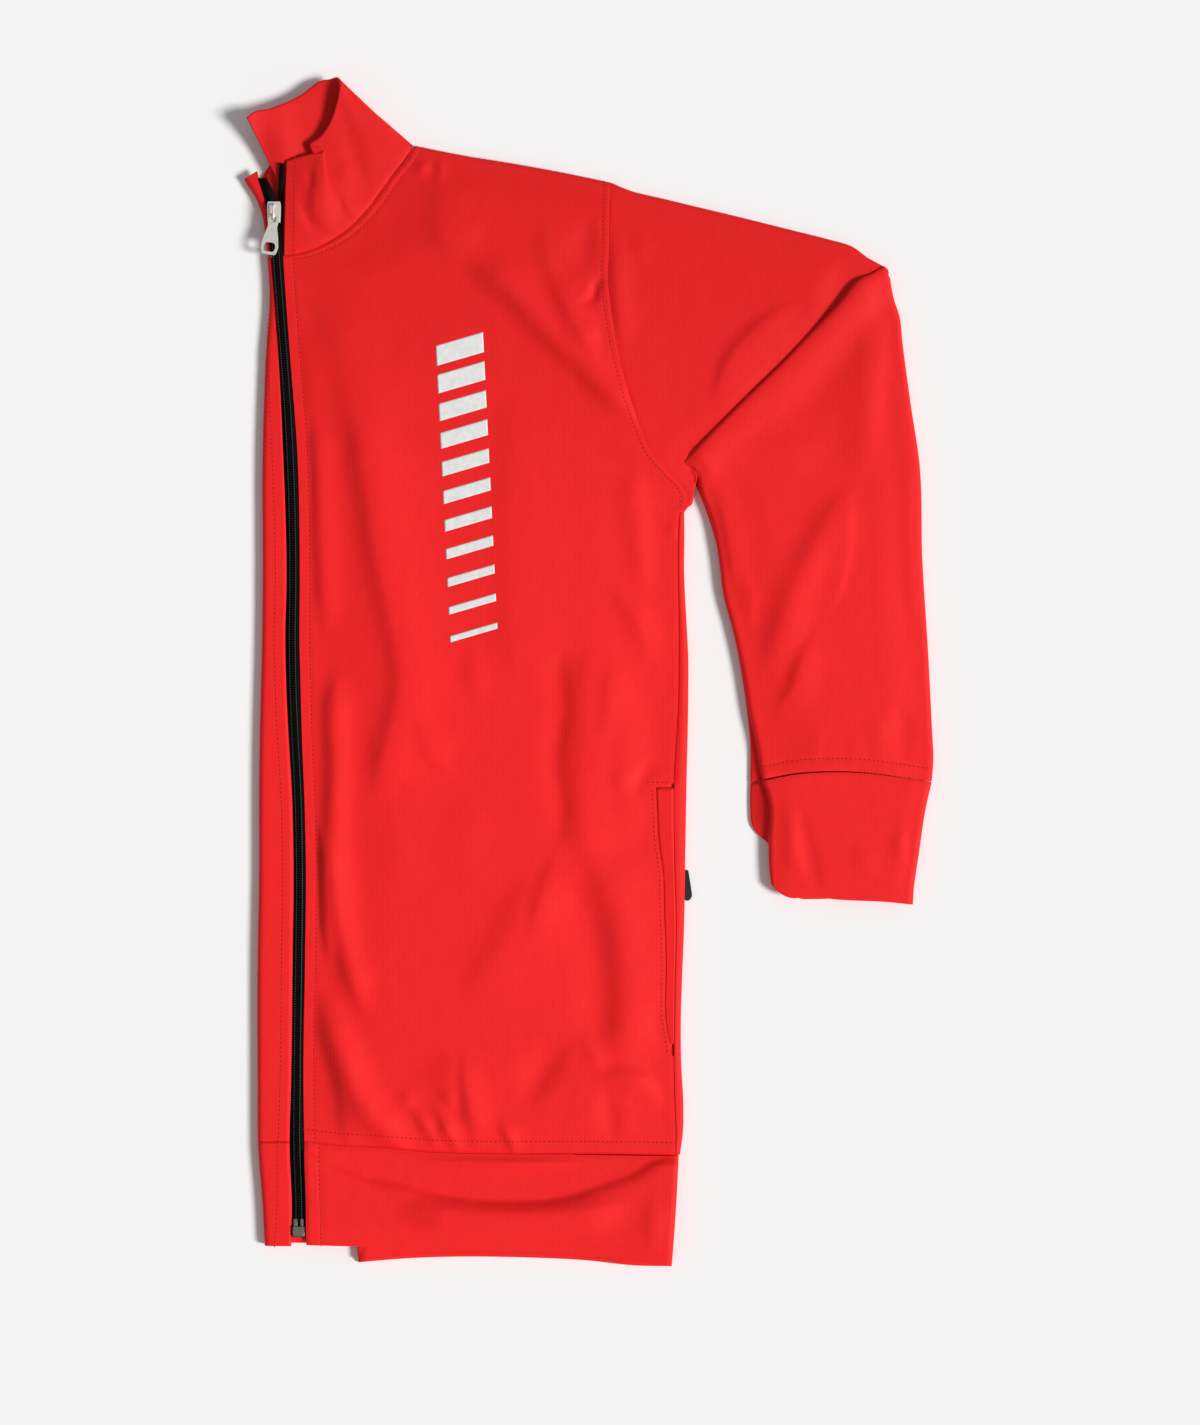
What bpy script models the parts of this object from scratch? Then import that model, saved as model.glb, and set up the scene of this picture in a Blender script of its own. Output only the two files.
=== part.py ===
"""A zip-up sports jacket, zipped shut, folded in half down its length and laid flat.

The wearer's left half lies on top and faces up. The right half lies under it, face down.
The frame is in metres with Z up: X runs from the front fold (-) to the sleeves (+), Y from
the hem (-) to the collar (+), and Z = 0 is the surface the jacket lies on.
All sizes and tables below are in millimetres.
"""

import math

import bmesh
import bpy
import numpy as np

MM = 0.001

# Driving sizes of the cloth.
CLOTH = 1.2
BAND_CLOTH = 2.2
COLLAR_CLOTH = 2.0
SEAM_GAP = 0.25
REST_GAP = 0.3

# Heights of the pile of hidden layers, and the roll of its folded edges.
PILE_TOP = 6.0
BAND_PILE_TOP = 5.4
CUFF_PILE_TOP = 5.6
COLLAR_PILE_TOP = 4.6
FOLD_RADIUS = 3.75
EDGE_ROLL = 3.5
WRAP_STEPS = 11
PUFF = 2.6
SLEEVE_STEPS = 11

# The zip: a number five coil on woven tape.
TAPE_TOP = 7.2
TAPE_THICK = 0.9
ZIP_HALF = 4.3
COIL_HALF = 2.8
COIL_BOTTOM = 7.5
COIL_TOP = 9.1
ZIP_BOTTOM_Y = -370.5
BOX_TOP_Y = -354.6
SLIDER_Y = 299.5
SLIDER_LENGTH = 13.5
SLIDER_WIDTH = 8.8

# The front edge of the body. Each row is one height up the zip: the fold at the left,
# the right front's edge, the middle of the zip and the left front's edge.
FRONT_COLUMNS = ("y", "fold", "right_edge", "zip", "left_edge")
FRONT_ROWS = (
    (-372.3, -211.9, -194.3, -189.4, -184.6),
    (-346.9, -213.2, -193.8, -189.2, -184.6),
    (-307.3, -216.2, -195.3, -190.5, -185.8),
    (-264.4, -216.5, -194.2, -190.3, -186.4),
    (-186.4, -216.5, -193.3, -189.3, -185.4),
    (-127.9, -215.5, -192.7, -188.8, -184.8),
    (-78.5, -215.5, -193.7, -189.8, -185.9),
    (-45.3, -215.2, -195.7, -191.5, -187.3),
    (-4.4, -214.2, -197.6, -193.1, -188.4),
    (21.0, -213.6, -198.1, -193.5, -189.0),
    (60.6, -213.2, -197.3, -193.1, -188.8),
    (145.1, -213.2, -199.6, -195.0, -190.5),
    (204.9, -211.2, -202.5, -198.8, -195.0),
    (249.1, -208.7, -206.2, -202.2, -198.2),
    (271.9, -210.3, -208.3, -203.9, -199.6),
    (296.6, -213.2, -210.6, -205.1, -199.6),
)

# The side of the body. Each row is one height: the side seam and the outermost edge.
SIDE_COLUMNS = ("y", "seam", "edge")
SIDE_ROWS = (
    (-313.4, 55.9, 58.6),
    (-298.8, 55.9, 60.5),
    (-280.6, 55.2, 60.8),
    (-253.3, 54.6, 59.4),
    (-225.4, 54.9, 59.2),
    (-198.1, 55.2, 60.0),
    (-170.8, 55.9, 61.1),
    (-116.2, 54.8, 62.1),
    (-70.7, 54.6, 62.9),
    (-17.4, 57.5, 64.0),
    (10.6, 57.9, 64.0),
    (32.0, 57.9, 62.9),
    (67.1, 57.2, 61.3),
    (95.1, 57.6, 61.5),
    (104.8, 58.4, 61.3),
)

# The pocket opening, from its lower end to its upper end.
POCKET_OPENING = ((53.2, -248.0), (51.2, -236.4), (49.4, -225.4), (49.4, -189.0), (48.4, -160.4),
                  (47.2, -126.6), (44.9, -111.0), (42.9, -79.8))
POCKET_HEAD = (54.6, -70.7)

HEM_SEAM = ((-185.9, -304.7), (-165.1, -307.1), (-134.6, -308.7), (-110.5, -311.0),
            (-61.1, -312.5), (-10.4, -312.5), (55.9, -313.4))
NECK_SEAM = ((-199.6, 271.2), (-192.4, 271.9), (-178.8, 276.1), (-166.4, 282.3), (-154.1, 291.7),
             (-141.7, 305.4), (-129.3, 322.8), (-119.1, 335.2), (-114.4, 343.6))
SHOULDER = ((-114.4, 343.6), (-80.0, 336.8), (-50.8, 332.1), (-17.2, 326.0), (13.7, 319.6))
ARMHOLE = ((63.6, 107.8), (62.4, 117.8), (54.0, 126.9), (41.6, 140.6), (31.2, 164.0),
           (21.9, 194.5), (15.6, 225.1), (12.0, 254.3), (12.7, 279.0), (13.0, 299.2), (13.7, 319.6))

BAND_HEM = ((-184.6, -372.0), (-151.1, -372.9), (-112.5, -373.6), (-65.7, -374.9),
            (-31.2, -375.5), (9.8, -379.7), (40.3, -384.6), (53.3, -385.9))
BAND_SIDE = ((57.8, -314.1), (56.0, -348.0), (53.3, -385.9))
BACK_BAND_END_X = -151.5
BACK_BAND_HEM = ((-151.0, -384.0), (-118.3, -381.4), (-41.0, -380.9), (-0.7, -382.9),
                 (27.9, -386.0), (53.3, -386.6))

# The sleeve: outer and inner outline of the upper arm and of the forearm, and the elbow crease.
UPPER_OUTER = ((13.7, 319.6), (24.7, 314.9), (49.4, 308.7), (103.2, 295.7), (133.9, 288.0),
               (156.9, 282.2), (170.7, 278.0), (181.3, 270.3), (190.5, 264.8))
UNDERARM = ((63.6, 107.8), (66.4, 110.0), (67.3, 115.0), (68.2, 123.7), (65.0, 130.8), (60.8, 137.7))
CREASE = ((190.5, 264.8), (183.0, 259.6), (173.6, 255.6), (159.9, 242.0), (146.2, 226.7),
          (127.7, 205.2), (103.2, 180.6), (80.2, 157.6), (60.8, 137.7))
CREASE_TURN = (0.694, -0.720)
FOREARM_OUTER = ((194.0, 261.2), (198.1, 243.0), (201.5, 232.9), (203.5, 215.6), (209.0, 174.6),
                 (214.5, 137.7), (216.5, 73.6), (220.3, 12.5), (222.6, -33.6), (223.6, -56.7), (222.6, -70.5))
FOREARM_INNER = ((65.3, 135.5), (69.2, 128.2), (71.9, 117.5), (78.7, 99.6), (83.9, 73.6), (86.8, 50.9),
                 (93.0, 27.5), (99.1, 0.2), (104.0, -29.1), (107.8, -45.3), (110.1, -59.6), (111.7, -69.2))
CUFF_SEAM = ((111.7, -69.2), (132.6, -65.1), (157.3, -63.6), (178.8, -64.4), (201.9, -67.4), (222.6, -70.5))
CUFF_OUTER = ((221.6, -71.5), (218.7, -87.6), (214.1, -118.1), (210.8, -140.9), (210.3, -150.6))
CUFF_HEM = ((117.6, -137.0), (120.9, -140.9), (129.8, -146.0), (141.1, -145.6), (163.5, -147.4),
            (194.2, -148.9), (210.3, -150.6))
CUFF_INNER = ((111.8, -70.2), (114.6, -77.2), (116.1, -83.7), (116.0, -110.3), (116.6, -127.0), (117.6, -137.0))

# Outlines of the hidden piles where they differ from the layer on top.
PILE_UNDERARM = ((63.6, 107.8), (64.0, 118.0), (63.4, 128.0), (61.4, 136.0))
PILE_FOREARM_INNER = ((66.5, 134.5), (71.6, 122.0), (79.4, 99.6), (84.6, 73.6), (87.4, 50.9), (93.4, 27.5),
                      (98.6, 0.2), (102.6, -27.0), (104.4, -45.3), (104.5, -71.0))
PILE_CUFF_INNER = ((104.5, -71.6), (104.4, -86.9), (105.8, -99.6), (110.8, -106.2), (116.6, -111.6),
                   (117.0, -125.0), (118.6, -137.6))
PILE_CUFF_HEM = ((118.6, -137.6), (121.6, -141.2), (130.0, -145.4), (163.5, -146.8), (194.2, -148.2), (209.6, -149.9))
PILE_CUFF_OUTER = ((221.9, -72.0), (218.9, -87.6), (214.3, -118.1), (211.0, -140.9), (209.6, -149.9))

# How the hidden layers show at a folded edge: from the top of the pile down, each row
# a height as a share of the pile and how far in from the outline it lies.
LAYERED_COLUMNS = ("height", "inset")
LAYERED_ROWS = (
    (1.00, 4.2),
    (0.86, 3.2),
    (0.58, 2.8),
    (0.50, 1.4),
    (0.40, 0.3),
    (0.24, 0.0),
    (0.08, 0.35),
    (0.00, 1.1),
)
LEDGE_SHARE = 0.55
UNDERARM_LEDGE = 3.0

# The largest folds of the top layer. Each row is one fold: its start, middle and end,
# how wide it is and how high. A trough has a height below zero.
FOLD_COLUMNS = ("start_x", "start_y", "mid_x", "mid_y", "end_x", "end_y", "width", "height")
FOLD_ROWS = (
    # The long drag from the shoulder to the underarm, with the soft ridge above it.
    (-108, 322, -85, 258, 35, 160, 9, -2.6),
    (-78, 322, -52, 268, 34, 190, 9, 2.2),
    (-16, 262, -30, 240, 2, 200, 8, 1.6),
    (-14, 300, -34, 262, -10, 225, 10, 1.4),
    # Soft folds beside the zip.
    (-186, 225, -183, 130, -178, 40, 6, -2.0),
    (-176, 210, -172, 120, -166, 20, 6, 1.8),
    (-166, 200, -158, 100, -152, 10, 7, -1.6),
    (-177, 0, -184, -80, -168, -150, 6, -2.8),
    (-166, 10, -170, -80, -150, -190, 8, 2.8),
    (-178, -90, -184, -150, -172, -250, 6, -2.8),
    (-160, -140, -168, -210, -134, -292, 8, 2.6),
    (-176, -240, -172, -275, -166, -304, 5, -2.8),
    # The crease across the belly under the print.
    (-165, 15, -120, 26, -70, 6, 8, 1.4),
    (-110, 2, -95, -60, -100, -160, 12, -1.2),
    # Broad upright folds of the belly.
    (-78, 20, -60, -70, -66, -190, 11, 1.8),
    (-36, 10, -40, -90, -50, -140, 9, -1.6),
    (-10, 60, -18, -30, -22, -110, 10, 1.6),
    (-52, -140, -60, -210, -96, -290, 12, 2.4),
    (-30, -120, -14, -190, -10, -300, 12, -1.8),
    (6, -70, -6, -170, 24, -270, 12, 2.0),
    (20, -60, 42, -62, 48, -40, 8, 1.8),
    # Short gathers above the hem band.
    (-118, -270, -112, -290, -108, -309, 5, -2.6),
    (-96, -262, -96, -288, -92, -310, 6, 2.4),
    (-86, -284, -80, -298, -74, -311, 5, -2.2),
    (-58, -280, -50, -296, -46, -311, 5, 2.0),
    (34, -250, 40, -275, 46, -300, 8, 2.2),
    (-138, -280, -126, -296, -122, -308, 6, 2.0),
    # Upper arm: soft folds along the elbow crease.
    (88, 178, 106, 228, 148, 262, 9, -2.2),
    (60, 160, 78, 230, 120, 262, 12, 1.6),
    (30, 300, 34, 240, 44, 190, 9, 1.6),
    # Forearm: folds from the inner elbow and the wrinkles of the wrist.
    (112, 176, 160, 182, 200, 196, 12, -2.0),
    (84, 120, 98, 70, 108, 10, 9, 1.8),
    (152, 80, 140, 20, 116, -40, 8, -2.4),
    (168, 90, 156, 20, 128, -44, 9, 2.4),
    (108, 50, 112, 10, 108, -30, 7, -1.6),
    (206, 150, 210, 60, 210, -40, 9, -1.4),
)

# Waves of the bands.
BAND_FOLD_ROWS = (
    (-176, -318, -110, -344, 20, -338, 9, -1.5),
    (-150, -356, -80, -366, 20, -362, 9, 1.0),
    (30, -330, 10, -350, -20, -360, 8, 0.8),
)
CUFF_FOLD_ROWS = (
    (136, -76, 138, -110, 134, -140, 8, 1.0),
    (168, -76, 168, -110, 166, -142, 9, -1.0),
    (198, -78, 196, -110, 194, -144, 8, 0.9),
)

# The stand collar, from its left zip end round to the middle of its back. Each row is
# one section: its foot on the neck seam and its head at the collar's upper edge.
COLLAR_COLUMNS = ("foot_x", "foot_y", "foot_z", "head_x", "head_y", "head_z", "lift")
COLLAR_ROWS = (
    (-198.6, 272.6, 7.6, -197.0, 332.6, 12.5, 1.5),
    (-189.0, 273.6, 8.6, -189.6, 334.8, 14.5, 2.0),
    (-179.0, 277.6, 9.2, -181.0, 336.8, 16.8, 2.0),
    (-170.0, 282.2, 9.6, -173.6, 338.0, 17.6, 1.5),
    (-161.5, 287.6, 9.8, -175.0, 341.0, 14.8, 0.0),
    (-154.5, 293.6, 10.0, -182.0, 343.0, 12.8, 0.0),
    (-147.6, 300.8, 10.0, -174.4, 348.6, 15.6, 1.0),
    (-141.6, 308.0, 10.0, -167.9, 358.4, 17.4, 2.0),
    (-134.0, 318.4, 9.9, -163.7, 371.0, 18.0, 2.0),
    (-127.0, 328.0, 9.8, -162.2, 379.0, 17.8, 1.4),
    (-120.4, 336.4, 9.6, -162.6, 383.6, 17.4, 0.6),
    (-116.6, 341.8, 8.2, -164.6, 386.0, 15.6, 0.0),
    (-119.6, 340.4, 6.3, -168.8, 386.0, 13.6, 0.0),
    (-131.0, 331.0, 6.0, -177.0, 384.0, 13.2, -1.8),
    (-148.0, 322.0, 6.0, -188.8, 375.0, 14.6, -2.4),
    (-167.0, 315.0, 6.0, -206.2, 366.6, 18.4, -3.2),
    (-184.0, 312.0, 6.0, -216.4, 364.2, 22.8, -4.0),
    (-199.0, 311.6, 6.0, -222.0, 359.6, 26.0, -4.4),
)
COLLAR_HEIGHT_STEPS = 5
COLLAR_PILE_LEFT = ((-204.4, 273.0), (-206.8, 288.0), (-209.0, 300.0), (-213.5, 310.0), (-216.0, 318.0),
                    (-212.0, 327.0), (-199.0, 343.0), (-182.0, 363.0), (-171.0, 378.6))
COLLAR_PILE_RIGHT = ((-115.6, 344.4), (-139.0, 364.6), (-163.4, 384.2))

# The right collar's end beside the zip, rolled round the fold. Each row holds a point on
# the fold and a point on the zip edge.
COLLAR_WRAP_ROWS = (
    ((-210.2, 272.4), (-208.4, 272.4)),
    ((-211.6, 286.0), (-209.6, 286.0)),
    ((-213.4, 298.0), (-210.7, 299.4)),
    ((-217.4, 309.0), (-211.6, 308.4)),
    ((-222.0, 316.4), (-214.4, 317.6)),
    ((-225.2, 321.4), (-216.4, 326.6)),
)
COLLAR_WRAP_TOP = 7.2

# The zip over the slider, where its sides part. Each row: left x, right x, y and lift.
TAPE_SPLIT_Y = 292.0
TAPE_LEFT_TAIL = (
    (-204.2, -199.6, 300.0, 0.0),
    (-203.4, -199.5, 306.6, 0.0),
    (-202.9, -199.2, 311.0, 1.1),
    (-202.3, -198.8, 316.0, 2.2),
    (-201.4, -198.2, 331.0, 4.6),
)
TAPE_RIGHT_TAIL = (
    (-210.2, -206.4, 303.0, 0.0),
    (-212.2, -208.4, 312.0, 0.2),
    (-215.0, -211.6, 322.0, 0.4),
)
COIL_LEFT_TAIL = (
    (-203.2, -200.8, 307.4, 0.4),
    (-202.6, -200.4, 317.0, 2.2),
    (-201.6, -199.4, 330.6, 4.6),
)
COIL_RIGHT_TAIL = (
    (-209.6, -207.2, 307.4, 0.2),
    (-211.2, -208.8, 314.0, 0.3),
    (-213.6, -211.4, 321.4, 0.5),
)

# The elbow crease, from the forearm's ridge over and under it to the upper arm. Each row is
# how far over the crease it lies and its height as a share of the ridge's.
RIDGE_REACH = 5.0
RIDGE_TOP = 13.0
CREASE_ROWS = (
    (2.4, 0.94),
    (0.7, 0.80),
    (0.0, 0.53),
    (0.6, 0.28),
    (2.2, 0.15),
    (4.0, 0.14),
    (5.1, 0.07),
    (4.2, 0.01),
    (2.0, 0.0),
    (0.0, 0.0),
)

# The slider's bail, the pull and the pocket's puller.
BAIL_RISE = 3.3
BAIL_WIRE = 1.4
PULL_THICK = 1.3
PULL_TILT = 2.4
PULL_SKEW = -8.8
PULLER_OUTLINE = ((62.3, -128.1), (64.1, -128.3), (66.3, -142.6), (66.6, -145.2), (64.9, -148.0), (61.9, -148.2))
PULLER_THICK = 2.2

COLOURS = {
    "red_tricot": ((0.80, 0.030, 0.035, 1.0), 0.62, 0.0),
    "zip_nylon": ((0.012, 0.012, 0.014, 1.0), 0.5, 0.0),
    "nickel": ((0.80, 0.78, 0.73, 1.0), 0.24, 1.0),
    "gunmetal": ((0.20, 0.20, 0.21, 1.0), 0.35, 1.0),
    "puller_rubber": ((0.03, 0.026, 0.026, 1.0), 0.6, 0.0),
}


def clear_scene():
    for obj in list(bpy.data.objects):
        bpy.data.objects.remove(obj, do_unlink=True)


def table(columns, rows):
    """A table's columns by name, as arrays."""
    return {name: np.array([row[i] for row in rows], float) for i, name in enumerate(columns)}


def smooth(knots, values, at):
    """A smooth curve through the values at the knots, read at the given places."""
    knots = np.asarray(knots, float)
    values = np.asarray(values, float)
    at = np.asarray(at, float)
    slopes = np.gradient(values, knots, axis=0)
    cell = np.clip(np.searchsorted(knots, at, side="right") - 1, 0, len(knots) - 2)
    span = knots[cell + 1] - knots[cell]
    t = (at - knots[cell]) / span
    if values.ndim == 2:
        span = span[..., None]
        t = t[..., None]
    rise = 3 * t**2 - 2 * t**3
    leave = (t - 2 * t**2 + t**3) * span
    arrive = (t**3 - t**2) * span
    return (1 - rise) * values[cell] + rise * values[cell + 1] + leave * slopes[cell] + arrive * slopes[cell + 1]


def edge_curve(*pieces):
    """A function from a share of the length to a point on the outline made of these smooth pieces."""
    dense = []
    for piece in pieces:
        points = np.array(piece, float)
        steps = np.linalg.norm(np.diff(points, axis=0), axis=1)
        knots = np.concatenate([[0], np.cumsum(steps)])
        dense.append(smooth(knots, points, np.linspace(0, knots[-1], 120)))
    line = np.concatenate(dense)
    length = np.concatenate([[0], np.cumsum(np.linalg.norm(np.diff(line, axis=0), axis=1))])

    def point_at(share):
        place = np.asarray(share, float) * length[-1]
        return np.stack([np.interp(place, length, line[:, 0]), np.interp(place, length, line[:, 1])], axis=-1)

    point_at.length = length[-1]
    return point_at


def share_of(curve, point):
    """How far along a curve the nearest place to a point lies, as a share of its length."""
    shares = np.linspace(0, 1, 2001)
    return shares[np.argmin(np.linalg.norm(curve(shares) - np.asarray(point, float), axis=1))]


def spread(stops, count):
    """Shares from the first stop to the last, with each stop kept and about count steps in all."""
    shares = [stops[0]]
    for low, high in zip(stops, stops[1:]):
        steps = max(1, round(count * (high - low) / (stops[-1] - stops[0])))
        shares += list(low + (high - low) * np.arange(1, steps + 1) / steps)
    return np.array(shares)


def with_stop(shares, stop):
    """The shares, stretched a little so that one of them is the stop."""
    nearest = shares[np.argmin(np.abs(shares - stop))]
    return np.where(shares <= nearest, shares * stop / nearest, 1 - (1 - shares) * (1 - stop) / (1 - nearest))


def roll_shares(width, count, left_roll, right_roll):
    """Shares across a width, closer together over a rolled edge."""
    near = [0, 0.14, 0.5, 1.1]
    left = [d * EDGE_ROLL / width for d in near] if left_roll else [0]
    right = [1 - d * EDGE_ROLL / width for d in reversed(near)] if right_roll else [1]
    middle = np.linspace(left[-1], right[0], count + 1)[1:-1]
    return np.concatenate([left, middle, right])


def patch(bottom, top, left, right, across, up, up_left=None):
    """Plan points [row][column] between four edges, at the shares across of each row and up each side."""
    u = np.asarray(across, float)
    right_share = np.asarray(up, float)
    left_share = right_share if up_left is None else np.asarray(up_left, float)
    if u.ndim == 1:
        u = np.repeat(u[None], len(right_share), axis=0)
    v = (1 - u) * left_share[:, None] + u * right_share[:, None]
    corners = [bottom(0.0), bottom(1.0), top(0.0), top(1.0)]
    u3, v3 = u[..., None], v[..., None]
    between_ends = (1 - v3) * bottom(u) + v3 * top(u)
    between_sides = (1 - u3) * left(left_share)[:, None] + u3 * right(right_share)[:, None]
    flat = (1 - v3) * ((1 - u3) * corners[0] + u3 * corners[1]) + v3 * ((1 - u3) * corners[2] + u3 * corners[3])
    return between_ends + between_sides - flat


def armhole_shares():
    """Shares along the armhole where both the body and the sleeve have a point."""
    return roll_shares(math.dist(ARMHOLE[0], ARMHOLE[-1]), SLEEVE_STEPS, True, True)


def inset_edges(plan, gap=SEAM_GAP):
    """The grid with its outermost points drawn in by a gap, which leaves the seam open."""
    plan = plan.copy()
    for edge, inner in (((0,), (1,)), ((-1,), (-2,))):
        for axis in (0, 1):
            rows = plan if axis == 0 else plan.transpose(1, 0, 2)
            step = rows[inner[0]] - rows[edge[0]]
            rows[edge[0]] += step / np.linalg.norm(step, axis=-1, keepdims=True) * gap
    return plan


def fold_height(plan, rows, columns=FOLD_COLUMNS):
    """The height that the folds of a table add at each point of a grid."""
    height = np.zeros(plan.shape[:-1])
    shares = np.linspace(0, 1, 25)[:, None]
    for row in rows:
        fold = dict(zip(columns, row))
        start = np.array([fold["start_x"], fold["start_y"]])
        mid = np.array([fold["mid_x"], fold["mid_y"]])
        end = np.array([fold["end_x"], fold["end_y"]])
        bend = 2 * mid - (start + end) / 2
        line = (1 - shares) ** 2 * start + 2 * shares * (1 - shares) * bend + shares**2 * end
        away = np.linalg.norm(plan[..., None, :] - line, axis=-1)
        nearest = away.argmin(axis=-1)
        fade = np.sin(np.pi * np.clip(0.08 + 0.84 * shares[nearest, 0], 0, 1)) ** 0.6
        height += fold["height"] * fade * np.exp(-((away.min(axis=-1) / fold["width"]) ** 2))
    return height


def rise(distance, reach):
    """0 at an edge to 1 from a reach inwards, with no kink."""
    t = np.clip(distance / reach, 0, 1)
    return t * t * (3 - 2 * t)


def roll_drop(distance, radius=EDGE_ROLL):
    """How far a rounded edge lies under the flat at a distance in from the outline."""
    inward = np.clip(radius - distance, 0, radius)
    return radius - np.sqrt(radius**2 - inward**2)


def soft_floor(height):
    """The height, kept above zero without a kink."""
    return 0.5 * (height + np.sqrt(height**2 + 0.5))


def side_distances(plan):
    """Distance of each grid point to the first and the last column and row, along the grid."""
    across = np.linalg.norm(np.diff(plan, axis=1), axis=-1)
    up = np.linalg.norm(np.diff(plan, axis=0), axis=-1)
    from_left = np.concatenate([np.zeros((plan.shape[0], 1)), np.cumsum(across, axis=1)], axis=1)
    from_bottom = np.concatenate([np.zeros((1, plan.shape[1])), np.cumsum(up, axis=0)], axis=0)
    return from_left, from_left[:, -1:] - from_left, from_bottom, from_bottom[-1:] - from_bottom


def with_height(plan, height):
    return np.concatenate([plan, height[..., None]], axis=-1)


def materials():
    made = {}
    for name, (colour, roughness, metallic) in COLOURS.items():
        material = bpy.data.materials.new(name)
        material.use_nodes = True
        shader = material.node_tree.nodes["Principled BSDF"]
        shader.inputs["Base Color"].default_value = colour
        shader.inputs["Roughness"].default_value = roughness
        shader.inputs["Metallic"].default_value = metallic
        made[name] = material
    return made


def add_object(name, points, faces, material, smooth_shaded=True):
    mesh = bpy.data.meshes.new(name)
    mesh.from_pydata([tuple(np.asarray(p) * MM) for p in points], [], faces)
    mesh.materials.append(material)
    if smooth_shaded:
        mesh.shade_smooth()
    obj = bpy.data.objects.new(name, mesh)
    PARTS.objects.link(obj)
    return obj


def grid_faces(rows, columns):
    return [
        (r * columns + c, r * columns + c + 1, (r + 1) * columns + c + 1, (r + 1) * columns + c)
        for r in range(rows - 1)
        for c in range(columns - 1)
    ]


def cloth_wall(name, surface, thickness, material, offset=-1.0):
    """A sheet of cloth through a grid of points on its outer face, its thickness inwards."""
    rows, columns = surface.shape[:2]
    obj = add_object(name, surface.reshape(-1, 3), grid_faces(rows, columns), material)
    wall = obj.modifiers.new("thickness", "SOLIDIFY")
    wall.thickness = thickness * MM
    wall.offset = offset
    return obj


def pile(name, plan, top, rounded, material, ledge=0.0):
    """Hidden layers as one solid with a flat underside and, on the rounded sides, layered edges.

    rounded holds a weight for the left, right, bottom and top side: 1 layered, 0 a straight seam.
    ledge is how far the lowest layer shows past the left of those on it, for each row.
    """
    rows, columns = plan.shape[:2]
    ledge = np.broadcast_to(np.asarray(ledge, float), (rows,))
    left, right, low, high = rounded
    right = np.broadcast_to(np.asarray(right, float), (rows,))
    left = np.broadcast_to(np.asarray(left, float), (rows,))
    loop = (
        [(0, c) for c in range(columns)]
        + [(r, columns - 1) for r in range(1, rows)]
        + [(rows - 1, c) for c in range(columns - 2, -1, -1)]
        + [(r, 0) for r in range(rows - 2, 0, -1)]
    )
    inward = []
    ledges = []
    for r, c in loop:
        step = np.zeros(2)
        way = plan[r, min(c + 1, columns - 1)] - plan[r, c]
        ledges.append(way / np.linalg.norm(way) * ledge[r] if c == 0 else np.zeros(2))
        for weight, at_side, neighbour in (
            (left[r], c == 0, (r, 1)),
            (right[r], c == columns - 1, (r, columns - 2)),
            (low, r == 0, (1, c)),
            (high, r == rows - 1, (rows - 2, c)),
        ):
            if at_side:
                way = plan[neighbour] - plan[r, c]
                step += weight * way / np.linalg.norm(way)
        inward.append(step)
    shapes = table(LAYERED_COLUMNS, LAYERED_ROWS)
    surface = with_height(plan, np.full(plan.shape[:2], float(top)))
    for (r, c), step, shelf in zip(loop, inward, ledges):
        surface[r, c, :2] += step * shapes["inset"][0] + shelf
    points = [tuple(p) for p in surface.reshape(-1, 3)]
    faces = grid_faces(rows, columns)
    ring = [r * columns + c for r, c in loop]
    for share, inset in zip(shapes["height"][1:], shapes["inset"][1:]):
        lower = list(range(len(points), len(points) + len(loop)))
        shelf_share = 1.0 if share > LEDGE_SHARE else 0.0
        points += [(*(plan[place] + step * inset + shelf * shelf_share), top * share)
                   for place, step, shelf in zip(loop, inward, ledges)]
        for i in range(len(loop)):
            j = (i + 1) % len(loop)
            faces.append((ring[i], lower[i], lower[j], ring[j]))
        ring = lower
    faces.append(tuple(reversed(ring)))
    return add_object(name, points, faces, material, smooth_shaded=False)


def ledge_to(plan, outline):
    """How far each row's left end lies from an outline on top of it."""
    line = edge_curve(outline)(np.linspace(0, 1, 200))
    return np.linalg.norm(plan[:, :1] - line, axis=-1).min(axis=-1)


def front_edge_at(y, column):
    front = table(FRONT_COLUMNS, FRONT_ROWS)
    return smooth(front["y"], front[column], y)


def side_at(y, column):
    side = table(SIDE_COLUMNS, SIDE_ROWS)
    return smooth(side["y"], side[column], y)


def front_line(column, low, high, count=24):
    heights = np.linspace(low, high, count)
    return list(zip(front_edge_at(heights, column), heights))


def side_line(column, low, high, count=16, shift=0.0):
    heights = np.linspace(low, high, count)
    return list(zip(side_at(heights, column) + shift, heights))


def front_wrap_rows(heights):
    return [((front_edge_at(y, "fold"), y), (front_edge_at(y, "right_edge") - SEAM_GAP, y)) for y in heights]


def fold_wrap(rows, top):
    """A sheet from under a fold, round its edge and flat to the zip, through rows of (fold, edge) points."""
    radius = top / 2
    surface = []
    for fold, edge in rows:
        fold = np.array(fold, float)
        across = np.array(edge, float) - fold
        width = np.linalg.norm(across)
        across /= width
        last = math.asin(np.clip(1 - width / radius, 0, 1))
        section = [(radius - radius * math.sin(a), radius + radius * math.cos(a))
                   for a in np.linspace(math.pi, last, WRAP_STEPS)]
        flat = max(width - radius, 0.4)
        section += [(section[-1][0] + flat * k / 2, section[-1][1]) for k in (1, 2)]
        surface.append([(*(fold + across * reach), z) for reach, z in section])
    return np.array(surface)


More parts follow.
